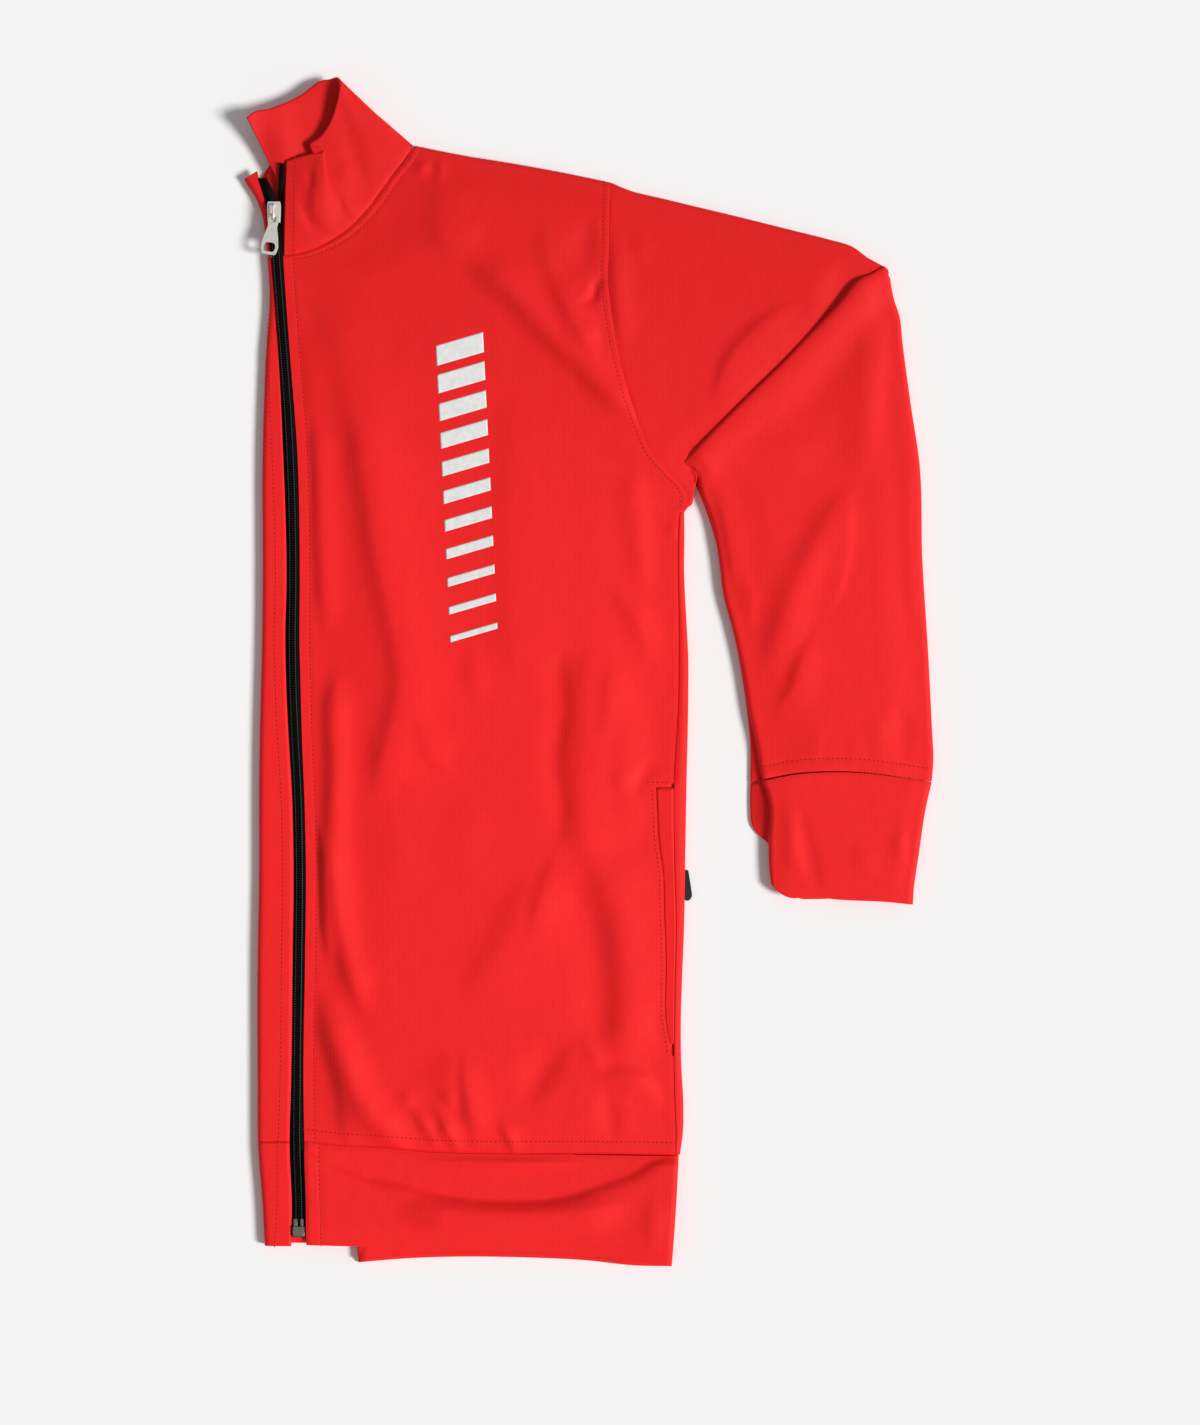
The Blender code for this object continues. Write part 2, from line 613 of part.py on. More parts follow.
def make_fronts(mats):
    red = mats["red_tricot"]
    hem = edge_curve(HEM_SEAM)
    shoulder = edge_curve(SHOULDER)
    zip_side = edge_curve(front_line("left_edge", HEM_SEAM[0][1], NECK_SEAM[0][1]), NECK_SEAM)
    side = edge_curve(
        side_line("seam", HEM_SEAM[-1][1], POCKET_OPENING[0][1], 6, -0.4),
        POCKET_OPENING,
        (POCKET_OPENING[-1], POCKET_HEAD),
        side_line("seam", POCKET_HEAD[1], SIDE_ROWS[-1][0], 12, -0.1),
        (SIDE_ROWS[-1][1::-1], ARMHOLE[0]),
        ARMHOLE,
    )
    underarm = share_of(side, ARMHOLE[0])
    corner = share_of(zip_side, NECK_SEAM[0])
    pocket_low = share_of(side, POCKET_OPENING[0])
    pocket_high = share_of(side, POCKET_OPENING[-1])
    head = share_of(side, POCKET_HEAD)
    seam_top = share_of(side, SIDE_ROWS[-1][1::-1])
    up = np.concatenate([spread([0, pocket_low, pocket_high, head, seam_top], 24),
                         underarm + (1 - underarm) * armhole_shares()])
    plan = inset_edges(patch(hem, shoulder, zip_side, side, np.linspace(0, 1, 20), up, with_stop(up, corner)))
    left, right, bottom, top = side_distances(plan)
    on_armhole = rise((up[:, None] - underarm) * side.length, 40)
    puff = rise(left, 16) * rise(bottom, 22) * rise(top, 26) * np.maximum(rise(right, 22), on_armhole)
    folds = fold_height(plan, FOLD_ROWS)
    height = PILE_TOP + REST_GAP + CLOTH + soft_floor(puff * PUFF + folds * (0.35 + 0.65 * rise(left, 10)))
    height += 0.7 * (1 - rise(bottom, 9))
    height -= roll_drop(top)
    cloth_wall("front_left", with_height(plan, height), CLOTH, red)

    heights = np.linspace(HEM_SEAM[0][1] + SEAM_GAP, NECK_SEAM[0][1] - SEAM_GAP, 26)
    cloth_wall("front_right", fold_wrap(front_wrap_rows(heights), 2 * FOLD_RADIUS), CLOTH, red)

    # The back's edge, rolled up round the side to meet the side seam.
    rows = []
    for y in np.linspace(SIDE_ROWS[0][0] + SEAM_GAP, SIDE_ROWS[-1][0] - 3 * SEAM_GAP, 28):
        seam = side_at(y, "seam") + SEAM_GAP
        edge = side_at(y, "edge")
        top_z = PILE_TOP + REST_GAP + CLOTH
        across = [seam] + [edge - d * EDGE_ROLL for d in (0.62, 0.3, 0.09, 0.0)]
        row = [(x, y, top_z - roll_drop(edge - x)) for x in across]
        rows.append(row)
    cloth_wall("back_left", np.array(rows), CLOTH, red)

    # The pocket's facing, which shows between the opening and the side seam.
    opening = np.array(POCKET_OPENING)
    rows = []
    for y in np.linspace(-241.0, -76.5, 18):
        low = smooth(opening[:, 1], opening[:, 0], min(y, -79.8)) + 2 * SEAM_GAP
        low += max(0.0, y + 79.8) * 1.3
        high = side_at(y, "seam") - SEAM_GAP
        rows.append([(low + (high - low) * k / 2, y, PILE_TOP + REST_GAP + CLOTH + 0.15 * k) for k in range(3)])
    cloth_wall("pocket_facing_left", np.array(rows), CLOTH, red)


def make_body_pile(mats):
    inner = FOLD_RADIUS + 0.8
    low = HEM_SEAM[0][1]
    left_heights = np.linspace(low, NECK_SEAM[0][1], 20)
    left_line = [(front_edge_at(y, "fold") + inner, y) for y in left_heights]
    neck = [(x + 0.4, y - 0.4) for x, y in NECK_SEAM[1:]]
    zip_side = edge_curve(left_line, neck)
    side = edge_curve(side_line("edge", HEM_SEAM[-1][1], SIDE_ROWS[-1][0]), (SIDE_ROWS[-1][::2][::-1], ARMHOLE[0]), ARMHOLE)
    hem = edge_curve(((left_line[0][0], low), *HEM_SEAM[:-1], (SIDE_ROWS[0][2], HEM_SEAM[-1][1])))
    shoulder = edge_curve(SHOULDER)
    underarm = share_of(side, ARMHOLE[0])
    corner = share_of(zip_side, neck[0])
    seam_top = share_of(side, SIDE_ROWS[-1][::2][::-1])
    up = np.concatenate([spread([0, seam_top], 17), underarm + (1 - underarm) * np.linspace(0, 1, 7)])
    plan = inset_edges(patch(hem, shoulder, zip_side, side, np.linspace(0, 1, 10), up, with_stop(up, corner)))
    weights = np.where(up < underarm - 1e-6, 1.0, 0.0)
    pile("folded_layers", plan, PILE_TOP, (0.0, weights, 0.0, 1.0), mats["red_tricot"])


def make_bands(mats):
    red = mats["red_tricot"]
    low, high = BAND_HEM[0][1], HEM_SEAM[0][1]
    hem = edge_curve(BAND_HEM)
    seam = edge_curve([(x, y - 2 * SEAM_GAP) for x, y in HEM_SEAM[:-1]], ((HEM_SEAM[-2][0], HEM_SEAM[-2][1] - 0.5), BAND_SIDE[0]))
    zip_side = edge_curve(front_line("left_edge", low, high, 8))
    side = edge_curve(BAND_SIDE[::-1])
    across = roll_shares(seam.length, 16, False, True)
    plan = inset_edges(patch(hem, seam, zip_side, side, across, np.linspace(0, 1, 8)))
    left, right, bottom, top = side_distances(plan)
    height = BAND_PILE_TOP + REST_GAP + BAND_CLOTH + 0.2
    height = height + soft_floor(1.2 * rise(bottom, 12) * rise(top, 12) + fold_height(plan, BAND_FOLD_ROWS)) - 0.35
    height -= roll_drop(right)
    cloth_wall("waistband_left", with_height(plan, height), BAND_CLOTH, red)

    heights = np.linspace(low - 0.4, high - SEAM_GAP, 6)
    cloth_wall("waistband_right", fold_wrap(front_wrap_rows(heights), 2 * FOLD_RADIUS + 0.3), BAND_CLOTH - 0.2, red)

    inner = FOLD_RADIUS + 0.9
    start = (front_edge_at(low, "fold") + inner, low + 0.8)
    step = (BACK_BAND_END_X, low + 0.4)
    pile_hem = edge_curve((start, step), (step, BACK_BAND_HEM[0]), BACK_BAND_HEM)
    pile_seam = edge_curve([(front_edge_at(high, "fold") + inner, high - 0.5)] + [(x, y - 0.5) for x, y in HEM_SEAM[2:-1]] + [BAND_SIDE[0]])
    pile_left = edge_curve([(front_edge_at(y, "fold") + inner, y) for y in np.linspace(low + 0.8, high - 0.5, 5)])
    pile_side = edge_curve((BACK_BAND_HEM[-1], BAND_SIDE[1], BAND_SIDE[0]))
    stops = [0, share_of(pile_hem, step), share_of(pile_hem, BACK_BAND_HEM[0]), 1]
    plan = inset_edges(patch(pile_hem, pile_seam, pile_left, pile_side, spread(stops, 12), np.linspace(0, 1, 5)))
    pile("waistband_back", plan, BAND_PILE_TOP, (0.0, 1.0, 0.55, 0.0), red)


def sleeve_surface(count_upper, count_forearm):
    """The left sleeve's outer face, from the cuff seam over the elbow crease to the armhole."""
    turn = np.array(CREASE_TURN)
    crease = edge_curve(CREASE[::-1])
    ridge_line = [np.array(p) + turn * RIDGE_REACH for p in CREASE[::-1]]
    ridge = edge_curve(ridge_line)
    forearm_inner = edge_curve((*FOREARM_INNER[::-1], tuple(ridge_line[0])))
    forearm_outer = edge_curve((*FOREARM_OUTER[::-1][:-1], tuple(ridge_line[-1])))
    cuff = edge_curve(CUFF_SEAM)
    up = np.linspace(0, 1, count_forearm)
    widths = np.linalg.norm(forearm_outer(up) - forearm_inner(up), axis=-1)
    across = np.array([roll_shares(w, SLEEVE_STEPS, True, True) for w in widths])
    forearm = patch(cuff, ridge, forearm_inner, forearm_outer, across, up)
    up = np.linspace(0.06, 1, count_upper)
    upper_inner = edge_curve(UNDERARM[::-1])
    upper_outer = edge_curve(UPPER_OUTER[::-1])
    armhole = edge_curve(ARMHOLE)
    widths = np.linalg.norm(upper_outer(up) - upper_inner(up), axis=-1)
    across = np.array([roll_shares(w, SLEEVE_STEPS, True, True) for w in widths])
    upper = patch(crease, armhole, upper_inner, upper_outer, across, up)
    across = roll_shares(crease.length, SLEEVE_STEPS, True, True)
    crease_points = crease(across)
    folded = [crease_points + turn * reach for reach, _ in CREASE_ROWS]
    plan = np.concatenate([forearm, np.array(folded), upper])
    left, right, _, _ = side_distances(plan)

    # Heights: each row of the crease has its own, the rest swells beside it.
    from_crease = np.abs((plan - crease_points.mean(axis=0)) @ turn)
    from_crease = np.minimum(from_crease, np.linalg.norm(plan[:, :, None] - crease_points, axis=-1).min(axis=-1))
    edge_puff = rise(left, 24) * rise(right, 24)
    folds = fold_height(plan, FOLD_ROWS)
    flat = PILE_TOP + REST_GAP + CLOTH
    ease = 0.25 + 0.75 * rise(left, 18) * rise(right, 30)
    height = flat + soft_floor(edge_puff * PUFF * 0.7 + folds * edge_puff)
    first, last = count_forearm, count_forearm + len(CREASE_ROWS)
    swell_low = np.exp(-((from_crease[:first] - RIDGE_REACH) / 17) ** 2) * (RIDGE_TOP - flat) * ease[:first]
    height[:first] = np.maximum(height[:first], flat) * 1.0 + swell_low * (1 - 0.5 * edge_puff[:first])
    ridge_height = height[first - 1]
    for i, (_, level) in enumerate(CREASE_ROWS):
        height[first + i] = flat + 0.2 + (ridge_height - flat - 0.2) * level
    sink = rise(from_crease[last:], 15)
    swell_high = np.exp(-(((from_crease[last:] - 17) / 13) ** 2)) * 3.0 * ease[last:]
    height[last:] = flat + 0.2 + (height[last:] - flat - 0.2 + swell_high) * sink
    height -= roll_drop(np.minimum(left, right)) * rise(from_crease, 14)
    return inset_edges(with_height(plan, height)[..., :2]), height


def make_sleeves(mats):
    red = mats["red_tricot"]
    plan, height = sleeve_surface(10, 14)
    cloth_wall("sleeve_left", with_height(plan, height), CLOTH, red)

    crease = edge_curve(CREASE[::-1])
    cuff = edge_curve(((PILE_FOREARM_INNER[-1][0], PILE_FOREARM_INNER[-1][1] + 0.6), *CUFF_SEAM[1:]))
    inner = edge_curve(PILE_FOREARM_INNER[::-1], (PILE_FOREARM_INNER[0], CREASE[-1]))
    forearm = patch(cuff, crease, inner, edge_curve((*FOREARM_OUTER[::-1], CREASE[0])), np.linspace(0, 1, 7), np.linspace(0, 1, 10))
    underarm = edge_curve((CREASE[-1], *PILE_UNDERARM[::-1]))
    upper = patch(crease, edge_curve(ARMHOLE), underarm, edge_curve(UPPER_OUTER[::-1]), np.linspace(0, 1, 7), np.linspace(0, 1, 7)[1:])
    plan = inset_edges(np.concatenate([forearm, upper]))
    ledge = ledge_to(plan, FOREARM_INNER[::-1])
    ledge[len(forearm):-1] = UNDERARM_LEDGE
    ledge[-1] = 0
    pile("sleeve_right", plan, PILE_TOP, (1.0, 1.0, 0.0, 0.0), red, ledge)


def make_cuffs(mats):
    red = mats["red_tricot"]
    drop = (0, 2 * SEAM_GAP)
    seam = edge_curve([(x, y - drop[1]) for x, y in CUFF_SEAM])
    inner = edge_curve(CUFF_INNER[::-1])
    outer = edge_curve(CUFF_OUTER[::-1])
    across = roll_shares(CUFF_SEAM[-1][0] - CUFF_SEAM[0][0], 9, True, True)
    plan = inset_edges(patch(edge_curve(CUFF_HEM), seam, inner, outer, across, np.linspace(0, 1, 7)))
    left, right, bottom, top = side_distances(plan)
    height = CUFF_PILE_TOP + REST_GAP + BAND_CLOTH + 0.2 + soft_floor(
        rise(left, 16) * rise(right, 16) * (1.0 + fold_height(plan, CUFF_FOLD_ROWS))) - 0.35
    height -= roll_drop(np.minimum(left, right))
    cloth_wall("cuff_left", with_height(plan, height), BAND_CLOTH, red)

    seam = edge_curve([(PILE_CUFF_INNER[0][0], PILE_CUFF_INNER[0][1])] + [(x, y - 0.5) for x, y in CUFF_SEAM[1:]])
    plan = inset_edges(patch(edge_curve(PILE_CUFF_HEM), seam, edge_curve(PILE_CUFF_INNER[::-1]),
                             edge_curve(PILE_CUFF_OUTER[::-1]), np.linspace(0, 1, 7), np.linspace(0, 1, 8)))
    pile("cuff_right", plan, CUFF_PILE_TOP, (1.0, 1.0, 0.55, 0.0), red, ledge_to(plan, CUFF_INNER))


def make_collar(mats):
    red = mats["red_tricot"]
    band = table(COLLAR_COLUMNS, COLLAR_ROWS)
    foot = np.stack([band["foot_x"], band["foot_y"], band["foot_z"]], axis=-1)
    head = np.stack([band["head_x"], band["head_y"], band["head_z"]], axis=-1)
    stations = np.arange(len(foot))
    finer = np.linspace(0, len(foot) - 1, 2 * len(foot) - 1)
    foot, head = smooth(stations, foot, finer), smooth(stations, head, finer)
    lift = smooth(stations, band["lift"], finer)
    shares = np.linspace(0, 1, COLLAR_HEIGHT_STEPS + 1)[:, None, None]
    surface = (1 - shares) * foot + shares * head
    surface[..., 2] += lift * np.sin(np.pi * shares[..., 0])
    cloth_wall("collar", surface, COLLAR_CLOTH, red, offset=0.0)

    cloth_wall("collar_right", fold_wrap(COLLAR_WRAP_ROWS, COLLAR_WRAP_TOP), COLLAR_CLOTH - 0.2, red)

    neck = edge_curve([(COLLAR_PILE_LEFT[0][0], NECK_SEAM[0][1] + 1.2)] + [(x - 0.3, y + 0.6) for x, y in NECK_SEAM])
    plan = inset_edges(patch(neck, edge_curve((COLLAR_PILE_LEFT[-1], COLLAR_PILE_RIGHT[-1])), edge_curve(COLLAR_PILE_LEFT),
                             edge_curve(COLLAR_PILE_RIGHT), np.linspace(0, 1, 7), np.linspace(0, 1, 9)))
    pile("folded_collar", plan, COLLAR_PILE_TOP, (1.0, 1.0, 0.0, 1.0), red)


def loft(name, rings, material):
    """A closed solid through rings of points, capped at both ends."""
    rings = np.asarray(rings, float)
    count = rings.shape[1]
    faces = []
    for r in range(len(rings) - 1):
        for c in range(count):
            d = (c + 1) % count
            faces.append((r * count + c, r * count + d, (r + 1) * count + d, (r + 1) * count + c))
    faces.append(tuple(reversed(range(count))))
    faces.append(tuple((len(rings) - 1) * count + c for c in range(count)))
    obj = add_object(name, rings.reshape(-1, 3), faces, material, smooth_shaded=False)
    shape = bmesh.new()
    shape.from_mesh(obj.data)
    bmesh.ops.recalc_face_normals(shape, faces=shape.faces)
    shape.to_mesh(obj.data)
    shape.free()
    return obj


def bar_rings(rows, bottom_top):
    """Rings of a flat bar with softened top corners, through rows of (left x, right x, y, lift)."""
    low, high = bottom_top
    corner = 0.3 * (high - low)
    rings = []
    for left, right, y, lift in rows:
        section = ((left, low), (left, high - corner), (left + corner, high), (right - corner, high),
                   (right, high - corner), (right, low))
        rings.append([(x, y, z + lift) for x, z in section])
    return rings


def make_zip(mats):
    black = mats["zip_nylon"]
    heights = np.linspace(ZIP_BOTTOM_Y, TAPE_SPLIT_Y, 28)
    middle = front_edge_at(heights, "zip")
    left_rows = [(m + 0.15, front_edge_at(y, "left_edge") - SEAM_GAP, y, 0.0) for m, y in zip(middle, heights)]
    right_rows = [(front_edge_at(y, "right_edge") + SEAM_GAP + 1.4 * rise(y - 190, 60), m - 0.15, y, 0.0)
                  for m, y in zip(middle, heights)]
    for name, rows, tail in (("zip_tape_left", left_rows, TAPE_LEFT_TAIL), ("zip_tape_right", right_rows, TAPE_RIGHT_TAIL)):
        loft(name, bar_rings(rows + list(tail), (TAPE_TOP - TAPE_THICK, TAPE_TOP)), black)

    heights = np.linspace(BOX_TOP_Y + 0.4, SLIDER_Y - SLIDER_LENGTH / 2 + 1.5, 28)
    middle = front_edge_at(heights, "zip")
    rows = [(m - COIL_HALF, m + COIL_HALF, y, 0.0) for m, y in zip(middle, heights)]
    loft("zip_coil", bar_rings(rows, (COIL_BOTTOM, COIL_TOP)), black)
    for name, rows in (("zip_coil_open_left", COIL_LEFT_TAIL), ("zip_coil_open_right", COIL_RIGHT_TAIL)):
        loft(name, bar_rings(rows, (COIL_BOTTOM, COIL_TOP)), black)

    middle = front_edge_at(BOX_TOP_Y, "zip")
    box_low, box_high = BOX_TOP_Y - 4.9, BOX_TOP_Y - 11.2
    loft("zip_box", bar_rings([(middle - 3.9, middle + 3.9, y, 0.0) for y in (box_low, box_high)], (COIL_BOTTOM, 10.0)), mats["gunmetal"])
    for name, side in (("zip_pin_right", -1), ("zip_pin_left", 1)):
        rows = [(middle + side * 2.1 - 1.3, middle + side * 2.1 + 1.3, y, 0.0) for y in (BOX_TOP_Y, box_low + 0.3)]
        loft(name, bar_rings(rows, (COIL_BOTTOM, 9.5)), mats["gunmetal"])


def poly_curve(name, outlines, material, fill, extrude=0.0, bevel=0.0, resolution=1):
    """A curve object of straight-sided splines, each a list of points and whether it closes."""
    curve = bpy.data.curves.new(name, "CURVE")
    curve.dimensions = "2D" if fill else "3D"
    curve.fill_mode = "BOTH" if fill else "FULL"
    curve.use_fill_caps = not fill
    curve.extrude = extrude * MM
    curve.bevel_depth = bevel * MM
    curve.bevel_resolution = resolution
    for points, closed in outlines:
        spline = curve.splines.new("POLY")
        spline.points.add(len(points) - 1)
        for place, point in zip(spline.points, points):
            place.co = (*(np.array(point, float) * MM), 1.0)
        spline.use_cyclic_u = closed
    curve.materials.append(material)
    obj = bpy.data.objects.new(name, curve)
    PARTS.objects.link(obj)
    return obj


def as_mesh(obj, collection):
    """The curve object as a mesh object with its caps welded, in the same place."""
    bpy.context.view_layer.update()
    evaluated = obj.evaluated_get(bpy.context.evaluated_depsgraph_get())
    mesh = bpy.data.meshes.new_from_object(evaluated)
    name, place = obj.name, obj.matrix_world.copy()
    bpy.data.objects.remove(obj, do_unlink=True)
    shape = bmesh.new()
    shape.from_mesh(mesh)
    bmesh.ops.remove_doubles(shape, verts=shape.verts, dist=1e-6)
    shape.to_mesh(mesh)
    shape.free()
    made = bpy.data.objects.new(name, mesh)
    made.matrix_world = place
    collection.objects.link(made)
    return made


def rounded_outline(points, radius, steps=4):
    """A closed outline with each corner replaced by a short curve."""
    outline = []
    count = len(points)
    for i in range(count):
        corner = np.array(points[i], float)
        before = np.array(points[i - 1], float) - corner
        after = np.array(points[(i + 1) % count], float) - corner
        cut = min(radius, 0.45 * np.linalg.norm(before), 0.45 * np.linalg.norm(after))
        start = corner + before / np.linalg.norm(before) * cut
        end = corner + after / np.linalg.norm(after) * cut
        for k in range(steps + 1):
            t = k / steps
            place = (1 - t) ** 2 * start + 2 * t * (1 - t) * corner + t**2 * end
            outline.append((place[0], place[1], 0.0))
    return outline


def make_slider(mats):
    nickel = mats["nickel"]
    centre = np.array([front_edge_at(SLIDER_Y, "zip"), SLIDER_Y])
    plate_top = COIL_TOP + REST_GAP + 1.1
    rings = []
    for along, half in ((-0.5, 0.9), (-0.36, 0.95), (0.1, 1.0), (0.36, 1.0), (0.5, 0.9)):
        wide = SLIDER_WIDTH / 2 * half
        inner = COIL_HALF + 0.6
        section = ((wide, TAPE_TOP + REST_GAP), (wide, plate_top - 0.5), (wide - 0.5, plate_top),
                   (0.5 - wide, plate_top), (-wide, plate_top - 0.5), (-wide, TAPE_TOP + REST_GAP),
                   (-inner, TAPE_TOP + REST_GAP), (-inner, COIL_TOP + REST_GAP), (inner, COIL_TOP + REST_GAP),
                   (inner, TAPE_TOP + REST_GAP))
        rings.append([(centre[0] + x, centre[1] + along * SLIDER_LENGTH, z) for x, z in section])
    slider = loft("zip_slider", rings, nickel)
    arch = [(-4.8, -0.5), (-4.7, 1.7), (-3.9, 2.9), (-2.8, BAIL_RISE), (2.8, BAIL_RISE), (3.9, 2.9), (4.7, 1.7), (4.8, -0.5)]
    path = [(centre[0], centre[1] + y, plate_top + z) for y, z in arch]
    bail = poly_curve("bail_tool", [(path, False)], nickel, fill=False, bevel=BAIL_WIRE / 2, resolution=2)
    bail = as_mesh(bail, TOOLS)
    bail.hide_render = True
    bail.display_type = "WIRE"
    join = slider.modifiers.new("bail", "BOOLEAN")
    join.operation = "UNION"
    join.object = bail

    # The pull, in its own frame: its cross bar is on the origin and its length runs along -Y.
    outline = rounded_outline([(-2.9, 0.65), (2.9, 0.65), (3.3, -4.6), (2.7, -7.2), (4.6, -14.5), (5.6, -20.5),
                               (4.4, -25.4), (-4.4, -25.4), (-5.6, -20.5), (-4.6, -14.5), (-2.7, -7.2), (-3.3, -4.6)], 1.2, 3)
    slot = rounded_outline([(-1.8, -0.65), (-1.8, -4.6), (1.8, -4.6), (1.8, -0.65)], 0.6, 2)
    eye = rounded_outline([(-3.1, -17.6), (-4.1, -20.6), (-3.2, -23.8), (3.2, -23.8), (4.1, -20.6), (3.1, -17.6)], 1.6, 3)
    pull = poly_curve("zip_pull", [(outline, True), (slot, True), (eye, True)], nickel, fill=True,
                      extrude=PULL_THICK / 2 - 0.15, bevel=0.15, resolution=0)
    pull = as_mesh(pull, PARTS)
    axis = np.array([centre[0] + 0.3, centre[1] - 2.4, plate_top + 0.35 + PULL_THICK * 0.75])
    pull.rotation_euler = (math.radians(PULL_TILT), 0.0, math.radians(PULL_SKEW))
    pull.location = tuple(axis * MM)


def make_puller(mats):
    outline = rounded_outline(PULLER_OUTLINE, 1.0, 3)
    puller = poly_curve("pocket_puller", [(outline, True)], mats["puller_rubber"], fill=True, extrude=PULLER_THICK / 2)
    puller.location = (0.0, 0.0, (PULLER_THICK / 2) * MM)


clear_scene()
PARTS = bpy.data.collections.new("sports_jacket")
TOOLS = bpy.data.collections.new("tools")
bpy.context.scene.collection.children.link(PARTS)
bpy.context.scene.collection.children.link(TOOLS)
MATERIALS = materials()
make_fronts(MATERIALS)
make_body_pile(MATERIALS)
make_bands(MATERIALS)
make_sleeves(MATERIALS)
make_cuffs(MATERIALS)
make_collar(MATERIALS)
make_zip(MATERIALS)
make_slider(MATERIALS)
make_puller(MATERIALS)
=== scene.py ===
"""A red zip-up sports jacket, folded in half down its length and laid flat on a pale surface.

The script follows the jacket as it is put together: fronts, pocket, folded layers, hem
bands, sleeves, cuffs, collar, zip, print, sewing, and then the surface, lights and camera.
Tables are in millimetres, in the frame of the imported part: X from the zip to the sleeves,
Y from the hem to the collar, Z up from the surface it lies on.
"""

import math

import bmesh
import bpy
import numpy as np
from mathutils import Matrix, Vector
from mathutils.bvhtree import BVHTree


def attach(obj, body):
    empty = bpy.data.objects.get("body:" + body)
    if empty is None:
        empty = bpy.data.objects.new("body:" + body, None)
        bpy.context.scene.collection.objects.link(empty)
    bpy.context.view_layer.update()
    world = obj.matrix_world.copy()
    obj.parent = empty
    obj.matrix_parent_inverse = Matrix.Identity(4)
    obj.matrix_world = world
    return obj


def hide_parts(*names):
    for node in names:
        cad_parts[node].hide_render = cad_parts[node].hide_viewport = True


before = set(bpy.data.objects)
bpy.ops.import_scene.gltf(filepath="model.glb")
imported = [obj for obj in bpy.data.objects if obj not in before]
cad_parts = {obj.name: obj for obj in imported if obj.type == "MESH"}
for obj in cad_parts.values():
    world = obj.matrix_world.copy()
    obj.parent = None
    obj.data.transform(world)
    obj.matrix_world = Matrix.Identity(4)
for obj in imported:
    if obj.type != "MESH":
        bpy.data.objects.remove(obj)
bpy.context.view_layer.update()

# Left front.
# The wearer's left front in polyester tricot, cut in one from the shoulder to the hem seam.
# It lies on the folded layers and carries the folds of the whole body. Its edges are turned
# in and topstitched at the zip, and seamed to the collar, shoulder, sleeve, side and hem band.
MM = 0.001
CLOTH = 1.2
SEAM_GAP = 0.1
REST_GAP = 0.3
PILE_TOP = 6.0
LAID_TOP = PILE_TOP + REST_GAP + CLOTH
PUFF = 3.1
EDGE_ROLL = 3.5
SEAM_WIDTH = 2.6
STITCH_WIDTH = 1.1
STITCH_GROOVE = 0.14
# How far each line of topstitching lies from its seam or edge.
ZIP_STITCHES = 7.0
NECK_STITCHES = 6.0
HEM_STITCHES = 8.2
ARMHOLE_STITCHES = 4.6
POCKET_STITCHES = 2.4
CURVE_POINTS = 240
FOLD_END = 34

FRONT_COLUMNS = ("y", "fold", "right_edge", "zip", "left_edge")
FRONT_ROWS = (
    (-372.3, -211.9, -194.3, -189.4, -184.6),
    (-346.9, -213.2, -193.8, -189.2, -184.6),
    (-307.3, -216.2, -195.3, -190.5, -185.8),
    (-264.4, -216.5, -194.2, -190.3, -186.4),
    (-186.4, -216.5, -193.3, -189.3, -185.4),
    (-127.9, -215.5, -192.7, -188.8, -184.8),
    (-78.5, -215.5, -193.7, -189.8, -185.9),
    (-45.3, -215.2, -195.7, -191.5, -187.3),
    (-4.4, -214.2, -197.6, -193.1, -188.4),
    (21.0, -213.6, -198.1, -193.5, -189.0),
    (60.6, -213.2, -197.3, -193.1, -188.8),
    (145.1, -213.2, -199.6, -195.0, -190.5),
    (204.9, -211.2, -202.5, -198.8, -195.0),
    (249.1, -208.7, -206.2, -202.2, -198.2),
    (271.9, -210.3, -208.3, -203.9, -199.6),
    (296.6, -213.2, -210.6, -205.1, -199.6),
)
SIDE_COLUMNS = ("y", "seam", "edge")
SIDE_ROWS = (
    (-313.4, 55.9, 58.6),
    (-298.8, 55.9, 60.5),
    (-280.6, 55.2, 60.8),
    (-253.3, 54.6, 59.4),
    (-225.4, 54.9, 59.2),
    (-198.1, 55.2, 60.0),
    (-170.8, 55.9, 61.1),
    (-116.2, 54.8, 62.1),
    (-70.7, 54.6, 62.9),
    (-17.4, 57.5, 64.0),
    (10.6, 57.9, 64.0),
    (32.0, 57.9, 62.9),
    (67.1, 57.2, 61.3),
    (95.1, 57.6, 61.5),
    (104.8, 58.4, 61.3),
)
POCKET_OPENING = ((53.2, -248.0), (51.2, -236.4), (49.4, -225.4), (49.4, -189.0), (48.4, -160.4),
                  (47.2, -126.6), (44.9, -111.0), (43.4, -85.0), (42.9, -74.2))
POCKET_HEAD = (54.6, -71.6)
HEM_SEAM = ((-185.9, -304.7), (-165.1, -307.1), (-134.6, -308.7), (-110.5, -311.0),
            (-61.1, -312.5), (-10.4, -312.5), (55.9, -313.4))
NECK_SEAM = ((-199.6, 271.2), (-192.4, 271.9), (-178.8, 276.1), (-166.4, 282.3), (-154.1, 291.7),
             (-141.7, 305.4), (-129.3, 322.8), (-119.1, 335.2), (-114.4, 343.6))
SHOULDER = ((-114.4, 343.6), (-80.0, 336.8), (-50.8, 332.1), (-17.2, 326.0), (13.7, 319.6))
ARMHOLE = ((63.6, 107.8), (62.4, 117.8), (54.0, 126.9), (41.6, 140.6), (31.2, 164.0),
           (21.9, 194.5), (15.6, 225.1), (12.0, 254.3), (12.7, 279.0), (13.0, 299.2), (13.7, 319.6))

